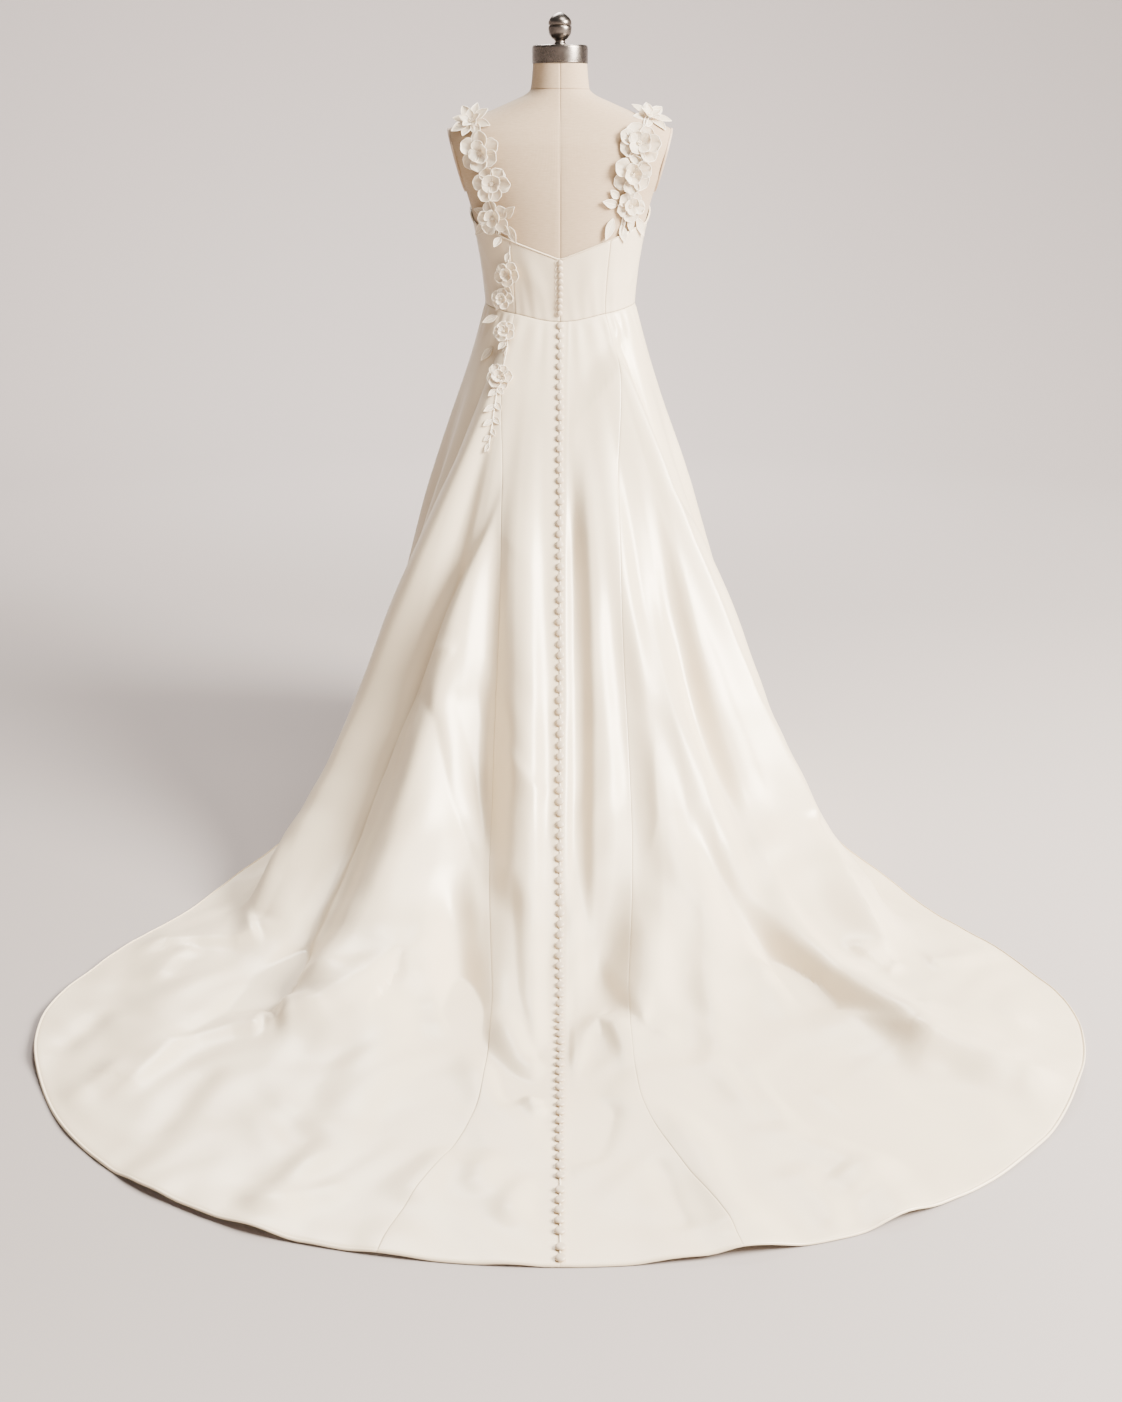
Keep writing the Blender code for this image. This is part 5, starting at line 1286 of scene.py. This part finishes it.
def makeFlowers():
    for name, node, across, height, radius, outerCount, innerCount, shape, spin, side in flowers:
        seat, up, down, right = flowerFrame(across, height, side)
        heap = Heap()
        for ring, count in enumerate((outerCount, innerCount)):
            reach, raised, lift, edgeRadius = flowerCut["rings"][ring]
            for k in range(count):
                turn = math.radians(spin + 360 * (k + 0.5 * ring) / count + dice.uniform(-6, 6))
                outDir = right * math.cos(turn) + down * math.sin(turn)
                length = radius * reach * dice.uniform(0.90, 1.06)
                wide = radius * flowerCut["halfWidths"][shape][ring] * dice.uniform(0.90, 1.08)
                petalInto(heap, seat + up * lift, outDir, up, length, wide * (6 / count) ** 0.4, shape,
                          raised=raised + dice.uniform(-0.08, 0.12), cup=flowerCut["cup"],
                          curl=dice.uniform(-0.16, 0.02), ruffle=flowerCut["ruffle"], phase=dice.uniform(0, 6),
                          base=flowerCut["base"], clear=flowerCut["clear"], edgeRadius=edgeRadius)
        stamens = flowerCut["stamens"]
        for k in range(stamens + 1):  # the last one stands in the middle
            turn = 2 * math.pi * k / stamens
            far = radius * (flowerCut["stamenReach"] if k < stamens else 0)
            rise = flowerCut["stamenRise"] + (0.0018 if k == stamens else 0.0012 * math.sin(3.0 * k))
            foot = seat + up * 0.003
            tip = seat + up * rise + (right * math.cos(turn) + down * math.sin(turn)) * far
            tubeInto(heap, [foot, (foot + tip) / 2, tip], flowerCut["stamenRadius"], 5, 1)
            beadInto(heap, tip, radius * flowerCut["beadShare"])
        dress(makePiece(name, heap, [organza, cord, bead], 60), "organza_flower", node)


leaves = [  # piece, node, leaves as across, height, heading, length, half-width
    ("side_leaf_left", "leaf_left_side",
     [(-0.150, 1.250, 215, 0.040, 0.010), (-0.146, 1.268, 170, 0.034, 0.009)]),
    ("inner_leaf_left", "leaf_left_inner",
     [(-0.114, 1.262, 38, 0.036, 0.010), (-0.118, 1.246, 320, 0.026, 0.008)]),
    ("drop_leaf_left", "leaf_left_drop",
     [(-0.104, 1.244, 300, 0.036, 0.009), (-0.122, 1.222, 250, 0.026, 0.008)]),
    ("trail_leaf_left", "leaf_trail_left",
     [(-0.140, 0.998, 232, 0.036, 0.008), (-0.130, 1.060, 200, 0.034, 0.008)]),
    ("inner_leaf_right", "leaf_right_inner",
     [(0.116, 1.286, 165, 0.036, 0.009), (0.118, 1.300, 140, 0.026, 0.008)]),
    ("drop_leaf_right", "leaf_right_drop",
     [(0.108, 1.260, 245, 0.046, 0.010), (0.124, 1.246, 285, 0.036, 0.009)]),
    ("outer_leaf_right", "leaf_right_outer",
     [(0.156, 1.260, 310, 0.044, 0.010), (0.142, 1.262, 275, 0.030, 0.009)]),
]


def leafInto(heap, across, height, heading, length, halfWidth):
    seat, normal = seatOn(across, height, "back")
    turn = math.radians(heading)
    outDir = np.array([math.cos(turn), 0, math.sin(turn)])
    outDir = unit(outDir - normal * np.dot(normal, outDir))
    petalInto(heap, seat + normal * 0.0012, outDir, normal, length, halfWidth, "leaf",
              raised=0.10, cup=0.25, curl=0.05, ruffle=0.08, phase=dice.uniform(0, 6), base=0.0, clear=0.0007,
              edgeRadius=0.00055, vein=True)


def makeLeaves():
    for name, node, rows in leaves:
        heap = Heap()
        for row in rows:
            leafInto(heap, *row)
        dress(makePiece(name, heap, [organza, cord], 60), "organza_flower", node)


trail = {
    "radius": 0.0009, "rise": 0.0012, "spacing": 0.006,
    "upper": [(-0.103, 1.206), (-0.103, 1.190), (-0.106, 1.172), (-0.107, 1.148), (-0.112, 1.126),
              (-0.117, 1.108), (-0.119, 1.090), (-0.118, 1.076)],
    "upperLeaves": [(-0.104, 1.192, 250, 0.020, 0.006), (-0.112, 1.122, 330, 0.020, 0.006),
                    (-0.118, 1.084, 215, 0.020, 0.006)],
    "lower": [(-0.113, 1.052), (-0.112, 1.040), (-0.110, 1.022), (-0.108, 0.998), (-0.113, 0.978),
              (-0.124, 0.945), (-0.129, 0.918), (-0.131, 0.904), (-0.135, 0.878), (-0.138, 0.852),
              (-0.142, 0.826), (-0.146, 0.806)],
    "lowerLeaves": [(-0.109, 1.006, 300, 0.022, 0.008), (-0.112, 1.012, 240, 0.022, 0.007),
                    (-0.128, 0.926, 305, 0.020, 0.0065), (-0.129, 0.922, 225, 0.022, 0.0065),
                    (-0.132, 0.898, 300, 0.022, 0.0065), (-0.133, 0.892, 215, 0.026, 0.0065),
                    (-0.136, 0.870, 310, 0.022, 0.006), (-0.137, 0.866, 222, 0.024, 0.006),
                    (-0.139, 0.848, 300, 0.018, 0.005), (-0.141, 0.836, 230, 0.018, 0.005),
                    (-0.143, 0.822, 262, 0.022, 0.0045)],
}


def stemInto(heap, rows):
    line = np.array(rows)
    lengths = lengthsOf(np.c_[line, np.zeros(len(line))])
    path = []
    for place in np.linspace(0, lengths[-1], max(8, int(lengths[-1] / trail["spacing"]))):
        across, height = (np.interp(place, lengths, line[:, k]) for k in (0, 1))
        spot, normal = seatOn(across, height, "back")
        path.append(spot + normal * (trail["rise"] + trail["radius"]))
    path = np.array(path)
    for _ in range(2):
        path[1:-1] = (path[:-2] + 2 * path[1:-1] + path[2:]) / 4
    tubeInto(heap, path, trail["radius"], 6, 1)


def makeTrail():
    for word in ("upper", "lower"):
        heap = Heap()
        stemInto(heap, trail[word])
        for row in trail[word + "Leaves"]:
            leafInto(heap, *row)
        piece = makePiece("trail_of_leaves_" + word, heap, [organza, cord], 60)
        dress(piece, "strap_ribbon", "trail_stem_" + word)


strapCut = {
    "pivot": 1.246, "stations": 60, "clear": 0.0022, "feet": (0.126, 0.128),
    "strands": (0.0014, 0.0011, 0.0011), "sway": 0.0042, "lay": 0.034,
    "path": [(5, 0.129), (30, 0.142), (60, 0.166), (90, 0.178), (120, 0.156), (140, 0.130)],
}


def topEdgeSpot(across, side):
    low, high = (0.0, 90.0) if side == "back" else (180.0, 90.0)
    out = bodiceCut["clear"] + bodiceCut["cloth"] / 4
    for _ in range(30):
        middle = (low + high) / 2
        if bodyPoint(middle, curveAt(bodiceCut["topEdge"], middle), out)[0] < abs(across):
            low = middle
        else:
            high = middle
    spot = bodyPoint(low, curveAt(bodiceCut["topEdge"], low), out)
    return np.array([across, spot[1], spot[2] + seamGap])


def makeStraps():
    body = treeOf([torso])
    first, last = strapCut["path"][0][0], strapCut["path"][-1][0]
    for word, side in (("left", -1), ("right", 1)):
        heap = Heap()
        centre, outs = [topEdgeSpot(side * strapCut["feet"][0], "back")], [np.array([0, -1.0, 0])]
        for k in range(strapCut["stations"]):
            turn = first + (last - first) * k / (strapCut["stations"] - 1)
            out = np.array([0, -math.cos(math.radians(turn)), math.sin(math.radians(turn))])
            across = side * float(curveAt(strapCut["path"], turn))
            start = Vector((across, 0, strapCut["pivot"])) + Vector(out)
            hit = body.ray_cast(start, -Vector(out))[0]
            centre.append(np.array(hit) + out * strapCut["clear"])
            outs.append(out)
        centre.append(topEdgeSpot(side * strapCut["feet"][1], "front"))
        outs.append(np.array([0, 1.0, 0]))
        centre, outs = np.array(centre), np.array(outs)
        far = lengthsOf(centre)
        for strand, radius in enumerate(strapCut["strands"]):
            turn = (far / strapCut["lay"] * 1.6 + strand * 2.1)[:, None]  # a third of a turn apart
            path = centre + np.array([strapCut["sway"], 0, 0]) * np.sin(turn)
            path = path + outs * (0.0011 + 0.0008 * np.cos(turn))
            tubeInto(heap, path, radius)
        dress(makePiece("corded_strap_" + word, heap, [cord], 60), "strap_ribbon", "strap_" + word)


makeStraps()
makeFlowers()
makeLeaves()
makeTrail()
print("straps, flowers and leaves made")
